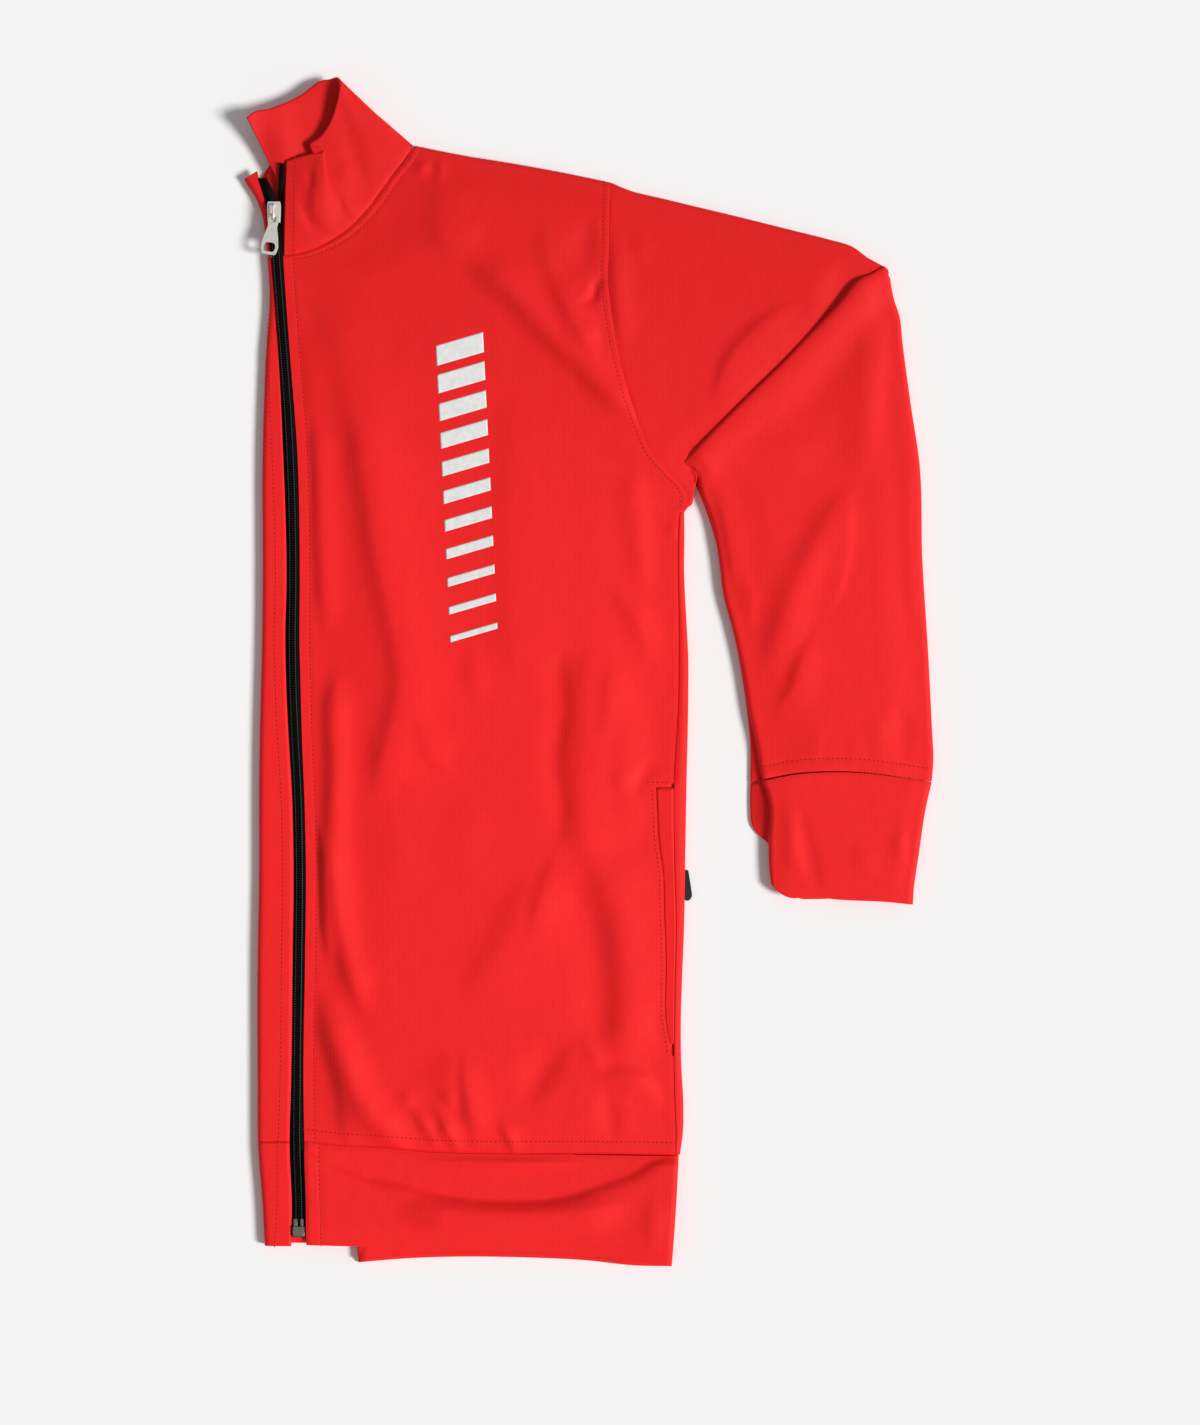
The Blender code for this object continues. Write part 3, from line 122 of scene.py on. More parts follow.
# The folds of the whole body, as they lie. Each row is one ridge, or a trough where its height
# is below zero: its height, how far it falls off to the left and to the right of its line,
# and the points of the line, which start low or at the right.
BODY_FOLDS = (
    (4.2, 9, 12, (38, 160), (26, 171), (12, 184), (-5, 202), (-25, 220), (-40, 237), (-55, 252),
     (-72, 264), (-84, 273)),
    (1.8, 8, 20, (-66, 262), (-82, 270), (-92, 280), (-100, 296), (-104, 314)),
    (3.0, 7, 11, (12, 196), (2, 210), (-8, 226), (-16, 241), (-23, 256), (-28, 268)),
    (1.2, 8, 12, (-22, 250), (-27, 270), (-27, 286), (-19, 298)),
    (-1.2, 8, 6, (-3, 258), (-3, 280), (-1, 300)),
    (-2.2, 3, 3, (-11, 237), (-3, 241), (2, 244), (3, 250), (7, 255), (14, 258)),
    (-0.8, 6, 4, (9, 200), (7, 215), (7, 230)),
    (0.8, 10, 14, (-104, 300), (-96, 310), (-92, 322)),
    (2.2, 5, 10, (-171, 22), (-173, 50), (-175, 90), (-176, 130), (-179, 175)),
    (0.9, 8, 12, (-177, 150), (-180, 190), (-184, 235)),
    (3.4, 9, 24, (-139, -84), (-135, -64), (-129, -42), (-124, -22), (-122, 0), (-125, 20),
     (-129, 40), (-134, 60), (-138, 80), (-141, 100), (-144, 120), (-148, 145), (-153, 170)),
    (1.8, 12, 18, (-146, 130), (-151, 160), (-157, 190), (-165, 220), (-175, 246)),
    (0.8, 14, 26, (-126, 150), (-134, 190), (-142, 220)),
    (3.5, 6, 10, (-143, -226), (-151, -208), (-158, -186), (-162, -160), (-165, -130), (-167, -100),
     (-166, -60), (-167, -25), (-164, 8)),
    (4.2, 9, 11, (-112, -316), (-128, -302), (-142, -287), (-152, -270), (-160, -250), (-168, -228),
     (-175, -202)),
    (3.2, 3.0, 8, (-168, -196), (-171, -170), (-172, -140), (-173, -118), (-178, -90)),
    (2.2, 6, 16, (-155, -318), (-157, -292), (-160, -268), (-166, -246), (-172, -222)),
    (1.3, 6, 16, (-84, -68), (-98, -58), (-107, -42), (-110, -22)),
    (-1.5, 9, 6, (-24, -118), (-18, -90), (-23, -56), (-18, -22), (-20, 2), (-13, 24)),
    (1.3, 5, 14, (-40, -180), (-34, -155), (-27, -133), (-20, -110)),
    (1.8, 13, 24, (-82, -214), (-64, -192), (-50, -168), (-42, -145), (-36, -126)),
    (2.8, 12, 26, (24, -262), (24, -238), (23, -205), (22, -180), (19, -155), (13, -138), (6, -126),
     (-1, -114)),
    (-2.1, 18, 11, (10, -252), (6, -230), (8, -206), (3, -182), (0, -160), (-9, -140), (-15, -126)),
    (1.8, 11, 24, (8, -134), (1, -118), (-3, -100), (-4, -75), (-4, -50), (-4, -20), (0, 5), (6, 22)),
    (1.4, 6, 12, (9, -48), (12, -30), (14, -10), (13, 5), (8, 18)),
    (2.0, 8, 10, (38, 0), (36, 22), (29, 38), (19, 50), (8, 60)),
    (1.6, 9, 8, (38, 45), (34, 70), (31, 95), (29, 122), (30, 145)),
    (0.9, 9, 12, (30, -118), (26, -90), (24, -60), (26, -30), (32, -8)),
    (0.8, 4, 6, (16, -78), (22, -60)),
    (-1.6, 4, 5, (30, -84), (33, -68), (41, -60), (52, -57)),
    (-2.2, 13, 8, (-40, -290), (-37, -270), (-29, -256), (-18, -243), (-8, -234)),
    (3.2, 12, 5, (50, -284), (42, -273), (33, -264), (22, -261), (8, -261), (1, -256)),
    (1.0, 4, 6, (6, -262), (3, -250), (-3, -240), (-8, -232)),
    (-1.3, 8, 5, (15, -314), (14, -296), (11, -276), (6, -262)),
    (-1.2, 10, 8, (50, -250), (46, -228), (44, -205)),
    (2.4, 4, 12, (-73, -314), (-75, -296), (-79, -280), (-81, -262), (-81, -240)),
    (2.0, 2.6, 5, (-97, -314), (-104, -300), (-111, -289), (-120, -278)),
    (2.3, 2.6, 6, (-82, -318), (-89, -304), (-96, -290), (-104, -276)),
    (1.9, 2.4, 6, (-44, -320), (-50, -308), (-56, -296), (-61, -286)),
    (1.2, 4, 5, (-92, -306), (-98, -290)),
    (1.6, 14, 9, (-90, -282), (-90, -262), (-94, -242)),
    (1.2, 4, 6, (-86, -286), (-98, -266)),
    (1.0, 5, 6, (-118, -286), (-120, -268)),
    (0.5, 12, 14, (-76, -150), (-79, -110), (-76, -70)),
    (0.5, 10, 12, (-121, -150), (-124, -110), (-122, -80)),
    (1.0, 12, 30, (-47, -10), (-49, 40), (-50, 90), (-49, 140), (-44, 185)),
    (1.8, 5, 5, (-115, 323), (-103, 334)),
    (1.0, 3, 4, (-98, 316), (-97, 338)),
    (0.8, 4, 4, (58, 84), (50, 100)),
    (0.9, 6, 10, (-72, -24), (-76, 0), (-77, 22)),
)


def columns_of(columns, rows):
    return {name: np.array([row[i] for row in rows], float) for i, name in enumerate(columns)}


def smooth_through(knots, values, at):
    """A smooth curve through the values at the knots, read at the given places."""
    knots, values, at = (np.asarray(a, float) for a in (knots, values, at))
    slopes = np.gradient(values, knots, axis=0)
    cell = np.clip(np.searchsorted(knots, at, side="right") - 1, 0, len(knots) - 2)
    span = knots[cell + 1] - knots[cell]
    t = (at - knots[cell]) / span
    if values.ndim == 2:
        span, t = span[..., None], t[..., None]
    bend = 3 * t**2 - 2 * t**3
    leave = (t - 2 * t**2 + t**3) * span * slopes[cell]
    arrive = (t**3 - t**2) * span * slopes[cell + 1]
    return (1 - bend) * values[cell] + bend * values[cell + 1] + leave + arrive


def edge_curve(*pieces):
    """A function from a share of the length to a point on an outline of these smooth pieces."""
    dense = []
    for piece in pieces:
        points = np.array(piece, float)
        knots = np.concatenate([[0], np.cumsum(np.linalg.norm(np.diff(points, axis=0), axis=1))])
        dense.append(smooth_through(knots, points, np.linspace(0, knots[-1], CURVE_POINTS)))
    line = np.concatenate(dense)
    length = np.concatenate([[0], np.cumsum(np.linalg.norm(np.diff(line, axis=0), axis=1))])

    def point_at(share):
        place = np.asarray(share, float) * length[-1]
        return np.stack([np.interp(place, length, line[:, k]) for k in (0, 1)], axis=-1)

    point_at.length = length[-1]
    return point_at


def share_of(curve, point):
    """The share of a curve's length at which it passes nearest to a point."""
    shares = np.linspace(0, 1, 4001)
    return shares[np.argmin(np.linalg.norm(curve(shares) - np.asarray(point, float), axis=1))]


def spread(stops, count):
    """About this many even shares that take in each of the stops."""
    shares = [stops[0]]
    for low, high in zip(stops, stops[1:]):
        steps = max(1, round(count * (high - low) / (stops[-1] - stops[0])))
        shares += list(low + (high - low) * np.arange(1, steps + 1) / steps)
    return np.array(shares)


def with_stop(shares, stop):
    """The shares, moved so that the nearest one falls on the stop."""
    nearest = shares[np.argmin(np.abs(shares - stop))]
    before = shares * stop / nearest
    after = 1 - (1 - shares) * (1 - stop) / (1 - nearest)
    return np.where(shares <= nearest, before, after)


def edged(width, count, near_left=True, near_right=True):
    """Shares across a width in mm, closer together beside a seam and its topstitching."""
    near = np.array([0, 0.25, 0.6, 1.1, 1.8, 2.8, 4.0, 5.0, 5.8, 6.5, 7.2, 7.8, 8.4, 9.2, 10.4])
    left = near / width if near_left else np.zeros(1)
    right = 1 - near[::-1] / width if near_right else np.ones(1)
    return np.concatenate([left, np.linspace(left[-1], right[0], count + 1)[1:-1], right])


def patch(bottom, top, left, right, across, up, up_left=None):
    """Plan points [row][column] between four edges."""
    u = np.asarray(across, float)
    right_share = np.asarray(up, float)
    left_share = right_share if up_left is None else np.asarray(up_left, float)
    if u.ndim == 1:
        u = np.repeat(u[None], len(right_share), axis=0)
    v = (1 - u) * left_share[:, None] + u * right_share[:, None]
    u3, v3 = u[..., None], v[..., None]
    ends = (1 - v3) * bottom(u) + v3 * top(u)
    sides = (1 - u3) * left(left_share)[:, None] + u3 * right(right_share)[:, None]
    corners = ((1 - v3) * ((1 - u3) * bottom(0.0) + u3 * bottom(1.0))
               + v3 * ((1 - u3) * top(0.0) + u3 * top(1.0)))
    return ends + sides - corners


def inset_edges(plan, gap=0.06):
    """The plan with its outermost points drawn in a little, clear of the next piece."""
    plan = plan.copy()
    for axis in (0, 1):
        rows = plan if axis == 0 else plan.transpose(1, 0, 2)
        for edge, inner in ((0, 1), (-1, -2)):
            step = rows[inner] - rows[edge]
            length = np.linalg.norm(step, axis=-1, keepdims=True)
            rows[edge] += step / length * np.minimum(gap, 0.6 * length)
    return plan


def rise(distance, reach):
    """A smooth step from 0 at no distance to 1 at the reach."""
    t = np.clip(distance / reach, 0, 1)
    return t * t * (3 - 2 * t)


def roll_drop(distance, radius=EDGE_ROLL):
    """How far a rounded edge falls away at a distance in from it."""
    inward = np.clip(radius - distance, 0, radius)
    return radius - np.sqrt(radius**2 - inward**2)


def soft_floor(height):
    return 0.5 * (height + np.sqrt(height**2 + 0.5))


def side_distances(plan):
    """How far each point of a grid lies from its left, right, bottom and top edges."""
    across = np.linalg.norm(np.diff(plan, axis=1), axis=-1)
    up = np.linalg.norm(np.diff(plan, axis=0), axis=-1)
    from_left = np.concatenate([np.zeros((plan.shape[0], 1)), np.cumsum(across, axis=1)], axis=1)
    from_bottom = np.concatenate([np.zeros((1, plan.shape[1])), np.cumsum(up, axis=0)], axis=0)
    return from_left, from_left[:, -1:] - from_left, from_bottom, from_bottom[-1:] - from_bottom


def fold_height(plan, rows):
    """What the folds of a table add to the height at each point of a grid."""
    points = plan.reshape(-1, 2)
    height = np.zeros(len(points))
    for tall, left_width, right_width, *stops in rows:
        path = edge_curve(stops)
        line = path(np.linspace(0, 1, 5 + 3 * len(stops)))
        reach = 2.6 * max(left_width, right_width)
        near = np.all((points > line.min(axis=0) - reach) & (points < line.max(axis=0) + reach), axis=1)
        spot = points[near]
        if not len(spot):
            continue
        start, step = line[:-1], np.diff(line, axis=0)
        along = np.clip(np.einsum("nsk,sk->ns", spot[:, None] - start, step) / (step**2).sum(axis=1), 0, 1)
        gap = spot[:, None] - (start + along[..., None] * step)
        away = np.linalg.norm(gap, axis=-1)
        best = away.argmin(axis=1)
        pick = (np.arange(len(spot)), best)
        share = (best + along[pick]) / len(step)
        on_left = step[best, 0] * gap[pick][:, 1] > step[best, 1] * gap[pick][:, 0]
        end = min(0.5, FOLD_END / path.length)
        fade = rise(share, end) * rise(1 - share, end)
        width = np.where(on_left, left_width, right_width) * (0.6 + 0.4 * fade)
        height[near] += tall * fade * np.exp(-((away[pick] / width) ** 2))
    return height.reshape(plan.shape[:-1])


def seam_dip(distance, stitches=0.0):
    """How far cloth goes down into a seam, and into a line of stitches at a distance beside it."""
    stitches = np.asarray(stitches, float)
    line = 2 * STITCH_GROOVE * np.exp(-(((distance - stitches) / STITCH_WIDTH) ** 2))
    allowance = 0.2 * rise(distance, SEAM_WIDTH) * (1 - rise(distance, np.maximum(stitches, 1.0)))
    return 0.5 * (1 - rise(distance, SEAM_WIDTH)) + np.where(stitches > 0, line - allowance, 0.0)


def raised(plan, height):
    return np.concatenate([plan, height[..., None]], axis=-1)


def shader_node(material, kind, **values):
    """A new node of a material, with values on its own sockets."""
    node = material.node_tree.nodes.new(kind)
    for socket, value in values.items():
        node.inputs[socket.replace("_", " ")].default_value = value
    return node


def relief(material, *layers):
    """Bump nodes one after another, each from a source of height and how far it stands in metres."""
    links = material.node_tree.links
    previous = None
    for source, distance in layers:
        bump = shader_node(material, "ShaderNodeBump", Strength=1.0, Distance=distance)
        links.new(source.outputs["Fac"], bump.inputs["Height"])
        if previous is not None:
            links.new(previous.outputs["Normal"], bump.inputs["Normal"])
        previous = bump
    links.new(previous.outputs["Normal"], material.node_tree.nodes["Principled BSDF"].inputs["Normal"])


def tricot(name, tint, depth):
    """Warp-knit polyester: upright wales, a soft nap, a tone that drifts at random, and painted shade that
    darkens it up the garment.
    """
    material = bpy.data.materials.new(name)
    material.use_nodes = True
    nodes, links = material.node_tree.nodes, material.node_tree.links
    shader = nodes["Principled BSDF"]
    for socket, value in (("Roughness", 0.62), ("Specular IOR Level", 0.15), ("Sheen Weight", 0.08),
                          ("Sheen Roughness", 0.4), ("Sheen Tint", (1.0, 0.25, 0.22, 1.0))):
        shader.inputs[socket].default_value = value
    place = nodes.new("ShaderNodeTexCoord")
    drift = shader_node(material, "ShaderNodeTexNoise", Scale=11.0, Detail=3.0)
    links.new(place.outputs["Object"], drift.inputs["Vector"])
    height = nodes.new("ShaderNodeSeparateXYZ")
    links.new(place.outputs["Object"], height.inputs["Vector"])
    # Painted shade: the red darkens from 20 mm to 400 mm up the garment, towards the collar, standing in
    # for the light falling off there.
    painted_falloff_shade = shader_node(material, "ShaderNodeMapRange", From_Min=0.02, From_Max=0.40, To_Min=0.0,
                         To_Max=0.75)
    painted_falloff_shade.interpolation_type = "SMOOTHSTEP"
    links.new(height.outputs["Y"], painted_falloff_shade.inputs["Value"])
    tone_and_painted_shade = nodes.new("ShaderNodeMath")
    tone_and_painted_shade.operation = "MULTIPLY_ADD"
    tone_and_painted_shade.inputs[1].default_value = 0.3
    links.new(drift.outputs["Fac"], tone_and_painted_shade.inputs[0])
    links.new(painted_falloff_shade.outputs["Result"], tone_and_painted_shade.inputs[2])
    # The ramp runs from the cloth's own red to a darker red: painted shade where the falloff drives it,
    # random tone where the drift does.
    shades = nodes.new("ShaderNodeValToRGB")
    low, high = shades.color_ramp.elements
    low.color = (*tint, 1.0)
    high.color = (tint[0] * 0.78, tint[1] * 0.72, tint[2] * 0.72, 1.0)
    links.new(tone_and_painted_shade.outputs["Value"], shades.inputs["Fac"])
    links.new(shades.outputs["Color"], shader.inputs["Base Color"])
    wales = shader_node(material, "ShaderNodeTexWave", Scale=330.0, Distortion=0.6, Detail=1.0)
    wales.bands_direction = "X"
    nap = shader_node(material, "ShaderNodeTexNoise", Scale=900.0, Detail=2.0)
    ripple = shader_node(material, "ShaderNodeTexNoise", Scale=75.0, Detail=2.0)
    for texture, source in ((wales, "UV"), (nap, "UV"), (ripple, "Object")):
        links.new(place.outputs[source], texture.inputs["Vector"])
    relief(material, (ripple, depth), (nap, 0.00005), (wales, 0.00004))
    return material


RED = (0.88, 0.0152, 0.0158)
RED_TRICOT = tricot("red_tricot", RED, 0.0004)


def put(name, points, faces, material, flat_uv=None, body="jacket"):
    """A mesh piece on a body, with its points in mm and its UV map in metres of cloth."""
    mesh = bpy.data.meshes.new(name)
    mesh.from_pydata((np.asarray(points, float) * MM).tolist(), [], faces)
    mesh.materials.append(material)
    mesh.shade_smooth()
    layer = mesh.uv_layers.new(name="cloth")
    corners = np.empty(len(mesh.loops), np.int64)
    mesh.loops.foreach_get("vertex_index", corners)
    flat = np.asarray(points if flat_uv is None else flat_uv, float)[corners, :2] * MM
    layer.data.foreach_set("uv", flat.astype(np.float32).ravel())
    obj = bpy.data.objects.new(name, mesh)
    bpy.context.scene.collection.objects.link(obj)
    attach(obj, body)
    return obj


def grid_faces(rows, columns):
    r, c = np.meshgrid(np.arange(rows - 1), np.arange(columns - 1), indexing="ij")
    a = (r * columns + c).ravel()
    return np.stack([a, a + 1, a + columns + 1, a + columns], axis=1).tolist()


def thicken(obj, thickness, offset=-1.0):
    """Gives a sheet its thickness in mm, below its face, or to both sides with an offset of 0."""
    wall = obj.modifiers.new("thickness", "SOLIDIFY")
    wall.thickness = thickness * MM
    wall.offset = offset


def cloth_shell(name, surface, thickness=1.0, offset=-1.0, flat_uv=None):
    """A thin shell of cloth through a grid of points on its outer face."""
    rows, columns = surface.shape[:2]
    obj = put(name, surface.reshape(-1, 3), grid_faces(rows, columns), RED_TRICOT,
              None if flat_uv is None else flat_uv.reshape(-1, 2))
    thicken(obj, thickness, offset)
    return obj


sewing = []


def beside(surface, distance, away):
    """The line on a surface that keeps a distance from one of its edges, a point in every row."""
    line = []
    for row, reach in zip(surface, distance):
        order = np.argsort(reach)
        if reach.max() > away:
            line.append([np.interp(away, reach[order], row[order, k]) for k in range(3)])
    return line


def front_edge_at(y, column):
    front = columns_of(FRONT_COLUMNS, FRONT_ROWS)
    return smooth_through(front["y"], front[column], y)


def side_at(y, column):
    side = columns_of(SIDE_COLUMNS, SIDE_ROWS)
    return smooth_through(side["y"], side[column], y)


def front_line(column, low, high, count=60):
    heights = np.linspace(low, high, count)
    return list(zip(front_edge_at(heights, column), heights))


def side_line(column, low, high, count=40, shift=0.0):
    heights = np.linspace(low, high, count)
    return list(zip(side_at(heights, column) + shift, heights))


FRONT_WIDTH = 245
PUFF_START = 2
PUFF_AT_ZIP = 56
PUFF_AT_HEM = 22
PUFF_AT_SHOULDER = 26
PUFF_AT_SIDE = 60
ARMHOLE_EASE = 40
ARMHOLE_DIP = 0.4
SIDE_DIP = 0.3
seam_top = SIDE_ROWS[-1][1::-1]
front_hem, front_shoulder = edge_curve(HEM_SEAM), edge_curve(SHOULDER)
front_zip_side = edge_curve(front_line("left_edge", HEM_SEAM[0][1], NECK_SEAM[0][1]), NECK_SEAM)
front_side = edge_curve(
    side_line("seam", HEM_SEAM[-1][1], POCKET_OPENING[0][1], 12, -0.12),
    POCKET_OPENING,
    (POCKET_OPENING[-1], POCKET_HEAD),
    side_line("seam", POCKET_HEAD[1], SIDE_ROWS[-1][0], 24, -0.1),
    (seam_top, ARMHOLE[0]),
    ARMHOLE,
)
underarm = share_of(front_side, ARMHOLE[0])
armhole_shares = edged(math.dist(ARMHOLE[0], ARMHOLE[-1]), 76)
side_places = (POCKET_OPENING[0], POCKET_OPENING[-1], POCKET_HEAD, seam_top)
side_stops = [share_of(front_side, place) for place in side_places]
front_up = np.concatenate([spread([0, *side_stops], 176), underarm + (1 - underarm) * armhole_shares])
neck_share = share_of(front_zip_side, NECK_SEAM[0])
front_up_left = with_stop(front_up, neck_share)
front_plan = inset_edges(patch(front_hem, front_shoulder, front_zip_side, front_side,
                               edged(FRONT_WIDTH, 92), front_up, front_up_left))
left, right, bottom, top = side_distances(front_plan)
on_armhole = rise((front_up[:, None] - underarm) * front_side.length, ARMHOLE_EASE)
front_puff = rise(left - PUFF_START, PUFF_AT_ZIP) * rise(bottom, PUFF_AT_HEM)
front_puff *= rise(top, PUFF_AT_SHOULDER)
front_puff *= np.maximum(rise(right, PUFF_AT_SIDE), on_armhole)
front_folds = fold_height(front_plan, BODY_FOLDS)
front_height = LAID_TOP + soft_floor(front_puff * PUFF + front_folds * rise(left - 3, 10))
front_height -= roll_drop(top) + seam_dip(bottom, HEM_STITCHES)
on_neck = front_up_left > neck_share
zip_groove = STITCH_GROOVE * np.exp(-(((left - ZIP_STITCHES) / STITCH_WIDTH) ** 2))
front_height -= np.where(on_neck[:, None], seam_dip(left, NECK_STITCHES), zip_groove)
side_dip = seam_dip(right, np.where(on_armhole > 0, ARMHOLE_STITCHES, 0.0))
front_height -= side_dip * np.where(on_armhole > 0, ARMHOLE_DIP, SIDE_DIP)
front_surface = raised(front_plan, front_height)
front_left = cloth_shell("front_left_cloth", front_surface)
on_arm = front_up > underarm
on_pocket = (front_up > side_stops[0]) & (front_up < side_stops[1])
sewing += [
    beside(front_surface[~on_neck], left[~on_neck], ZIP_STITCHES),
    beside(front_surface[on_neck], left[on_neck], NECK_STITCHES),
    beside(front_surface.transpose(1, 0, 2), bottom.T, HEM_STITCHES),
    beside(front_surface[on_arm], right[on_arm], ARMHOLE_STITCHES),
    beside(front_surface[on_pocket], right[on_pocket], POCKET_STITCHES),
]
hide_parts("front_left")

# Right front, the strip beside the zip.
# The wearer's right front lies face down under the jacket. It rolls up round the fold and
# ends at the zip, so a strip of it shows down the whole front.
FOLD_RADIUS = 3.75


def fold_wrap(rows, top, steps=15):
    """A sheet from under a fold, round it and flat to the zip, through rows of (fold, edge) points."""
    radius = top / 2
    surface = []
    for fold, edge in rows:
        fold = np.array(fold, float)
        across = np.array(edge, float) - fold
        width = np.linalg.norm(across)
        across /= width
        last = math.asin(np.clip(1 - width / radius, 0, 1))
        section = [(radius - radius * math.sin(a), radius + radius * math.cos(a))
                   for a in np.linspace(math.pi, last, steps)]
        flat = max(width - radius, 0.4)
        section += [(section[-1][0] + flat * k / 7, section[-1][1]) for k in range(1, 8)]
        surface.append([(*(fold + across * reach), z) for reach, z in section])
    return np.array(surface)


def front_wrap_rows(heights):
    folds, edges = (front_edge_at(heights, column) for column in ("fold", "right_edge"))
    return [((fold, y), (edge - SEAM_GAP, y)) for fold, edge, y in zip(folds, edges, heights)]


def from_last(surface):
    """How far each point of a row, but the last, lies from the row's end."""
    steps = np.linalg.norm(np.diff(surface[:, ::-1], axis=1), axis=-1)
    return np.cumsum(steps, axis=1)[:, ::-1]


wrap_heights = np.linspace(HEM_SEAM[0][1] + SEAM_GAP, NECK_SEAM[0][1] - SEAM_GAP, 230)
strip_surface = fold_wrap(front_wrap_rows(wrap_heights), 2 * FOLD_RADIUS)
front_right = cloth_shell("front_right_cloth", strip_surface)
sewing.append(beside(strip_surface[:, :-1], from_last(strip_surface), ZIP_STITCHES))
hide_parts("front_right")

# Back, the edge that shows at the side.
# The back's left side comes up round the side fold and meets the front at the side seam.
ROLL_SHARES = (0.5, 0.36, 0.23, 0.13, 0.05, 0.0)
POCKET_TOP_Y = -72
back_rows = []
for y in np.linspace(SIDE_ROWS[0][0] + SEAM_GAP, SIDE_ROWS[-1][0] - 3 * SEAM_GAP, 170):
    seam, edge = side_at(y, "seam") + SEAM_GAP, side_at(y, "edge")
    dip = 0.1 if y < POCKET_TOP_Y else 0.5
    across = [seam, seam + 0.4, seam + 1.0] + [edge - d * EDGE_ROLL for d in ROLL_SHARES]
    heights = [LAID_TOP - roll_drop(edge - x) - dip * (1 - rise(x - seam, 1.2)) for x in across]
    back_rows.append([(x, y, z) for x, z in zip(across, heights)])
back_left = cloth_shell("back_left_cloth", np.array(back_rows))
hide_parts("back_left")

# Side pocket, its facing.
# A zipped pocket is set in the side seam. Its facing, a strip of the same cloth, shows
# between the opening's turned edge and the side seam.
FACING_ENDS = (-241.0, -74.6)
FACING_DROP = 0.02
opening = np.array(POCKET_OPENING)
facing_rows = []
for y in np.linspace(*FACING_ENDS, 80):
    low = smooth_through(opening[:, 1], opening[:, 0], y) + SEAM_GAP
    high = side_at(y, "seam") - SEAM_GAP
    facing_rows.append([(low + (high - low) * k / 6, y, LAID_TOP - FACING_DROP * (6 - k))
                        for k in range(7)])
pocket_facing = cloth_shell("pocket_facing_cloth", np.array(facing_rows))
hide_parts("pocket_facing_left")

# Folded layers of the body.
# The back and most of the right front lie folded under the left front. Where they show, at
# the side and the shoulder, their folded edges lie one on another.
LAYERED_COLUMNS = ("height", "inset")
LAYERED_ROWS = (
    (1.00, 4.2),
    (0.86, 3.2),
    (0.58, 2.8),
    (0.50, 1.4),
    (0.40, 0.3),
    (0.24, 0.0),
    (0.08, 0.35),
    (0.00, 1.1),
)
LEDGE_SHARE = 0.55


def pile(name, plan, top, rounded, ledge=0.0):
    """Hidden layers as one solid, flat underneath, with layered edges on the rounded sides."""
    rows, columns = plan.shape[:2]
    ledge = np.broadcast_to(np.asarray(ledge, float), (rows,))
    left, right, low, high = rounded
    left, right = (np.broadcast_to(np.asarray(side, float), (rows,)) for side in (left, right))
    loop = [(0, c) for c in range(columns)]
    loop += [(r, columns - 1) for r in range(1, rows)]
    loop += [(rows - 1, c) for c in range(columns - 2, -1, -1)]
    loop += [(r, 0) for r in range(rows - 2, 0, -1)]
    inward, ledges = [], []
    for r, c in loop:
        step = np.zeros(2)
        way = plan[r, min(c + 1, columns - 1)] - plan[r, c]
        ledges.append(way / np.linalg.norm(way) * ledge[r] if c == 0 else np.zeros(2))
        sides = ((left[r], c == 0, (r, 1)), (right[r], c == columns - 1, (r, columns - 2)),
                 (low, r == 0, (1, c)), (high, r == rows - 1, (rows - 2, c)))
        for weight, at_side, neighbour in sides:
            if at_side:
                way = plan[neighbour] - plan[r, c]
                step += weight * way / np.linalg.norm(way)
        inward.append(step)
    shapes = columns_of(LAYERED_COLUMNS, LAYERED_ROWS)
    surface = raised(plan, np.full(plan.shape[:2], float(top)))
    for (r, c), step, shelf in zip(loop, inward, ledges):
        surface[r, c, :2] += step * shapes["inset"][0] + shelf
    points = [tuple(p) for p in surface.reshape(-1, 3)]
    faces = grid_faces(rows, columns)
    ring = [r * columns + c for r, c in loop]
    for share, inset in zip(shapes["height"][1:], shapes["inset"][1:]):
        lower = list(range(len(points), len(points) + len(loop)))
        held = 1.0 if share > LEDGE_SHARE else 0.0
        points += [(*(plan[place] + step * inset + shelf * held), top * share)
                   for place, step, shelf in zip(loop, inward, ledges)]
        for i in range(len(loop)):
            j = (i + 1) % len(loop)
            faces.append((ring[i], lower[i], lower[j], ring[j]))
        ring = lower
    faces.append(tuple(reversed(ring)))
    return put(name, points, faces, RED_TRICOT)


def ledge_to(plan, outline):
    """How far each row of a plan starts from an outline, which is how far its lower layer shows."""
    line = edge_curve(outline)(np.linspace(0, 1, 400))
    return np.linalg.norm(plan[:, :1] - line, axis=-1).min(axis=-1)


NECK_INSET = 0.4
inner = FOLD_RADIUS + 0.8
hem_y = HEM_SEAM[0][1]
side_top = SIDE_ROWS[-1][::2][::-1]
layers_left = [(front_edge_at(y, "fold") + inner, y) for y in np.linspace(hem_y, NECK_SEAM[0][1], 40)]
layers_neck = [(x + NECK_INSET, y - NECK_INSET) for x, y in NECK_SEAM[1:]]
layers_zip_side = edge_curve(layers_left, layers_neck)
layers_side = edge_curve(side_line("edge", HEM_SEAM[-1][1], side_top[1]), (side_top, ARMHOLE[0]), ARMHOLE)
layers_hem = edge_curve(((layers_left[0][0], hem_y), *HEM_SEAM[:-1], (SIDE_ROWS[0][2], HEM_SEAM[-1][1])))
layers_underarm = share_of(layers_side, ARMHOLE[0])
layers_up = np.concatenate([spread([0, share_of(layers_side, side_top)], 60),
                            layers_underarm + (1 - layers_underarm) * np.linspace(0, 1, 25)])
layers_up_left = with_stop(layers_up, share_of(layers_zip_side, layers_neck[0]))
layers_plan = inset_edges(patch(layers_hem, front_shoulder, layers_zip_side, layers_side,
                                np.linspace(0, 1, 14), layers_up, layers_up_left))
folded_layers = pile("folded_layers_cloth", layers_plan, PILE_TOP,
                     (0.0, np.where(layers_up < layers_underarm - 1e-6, 1.0, 0.0), 0.0, 1.0))
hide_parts("folded_layers")

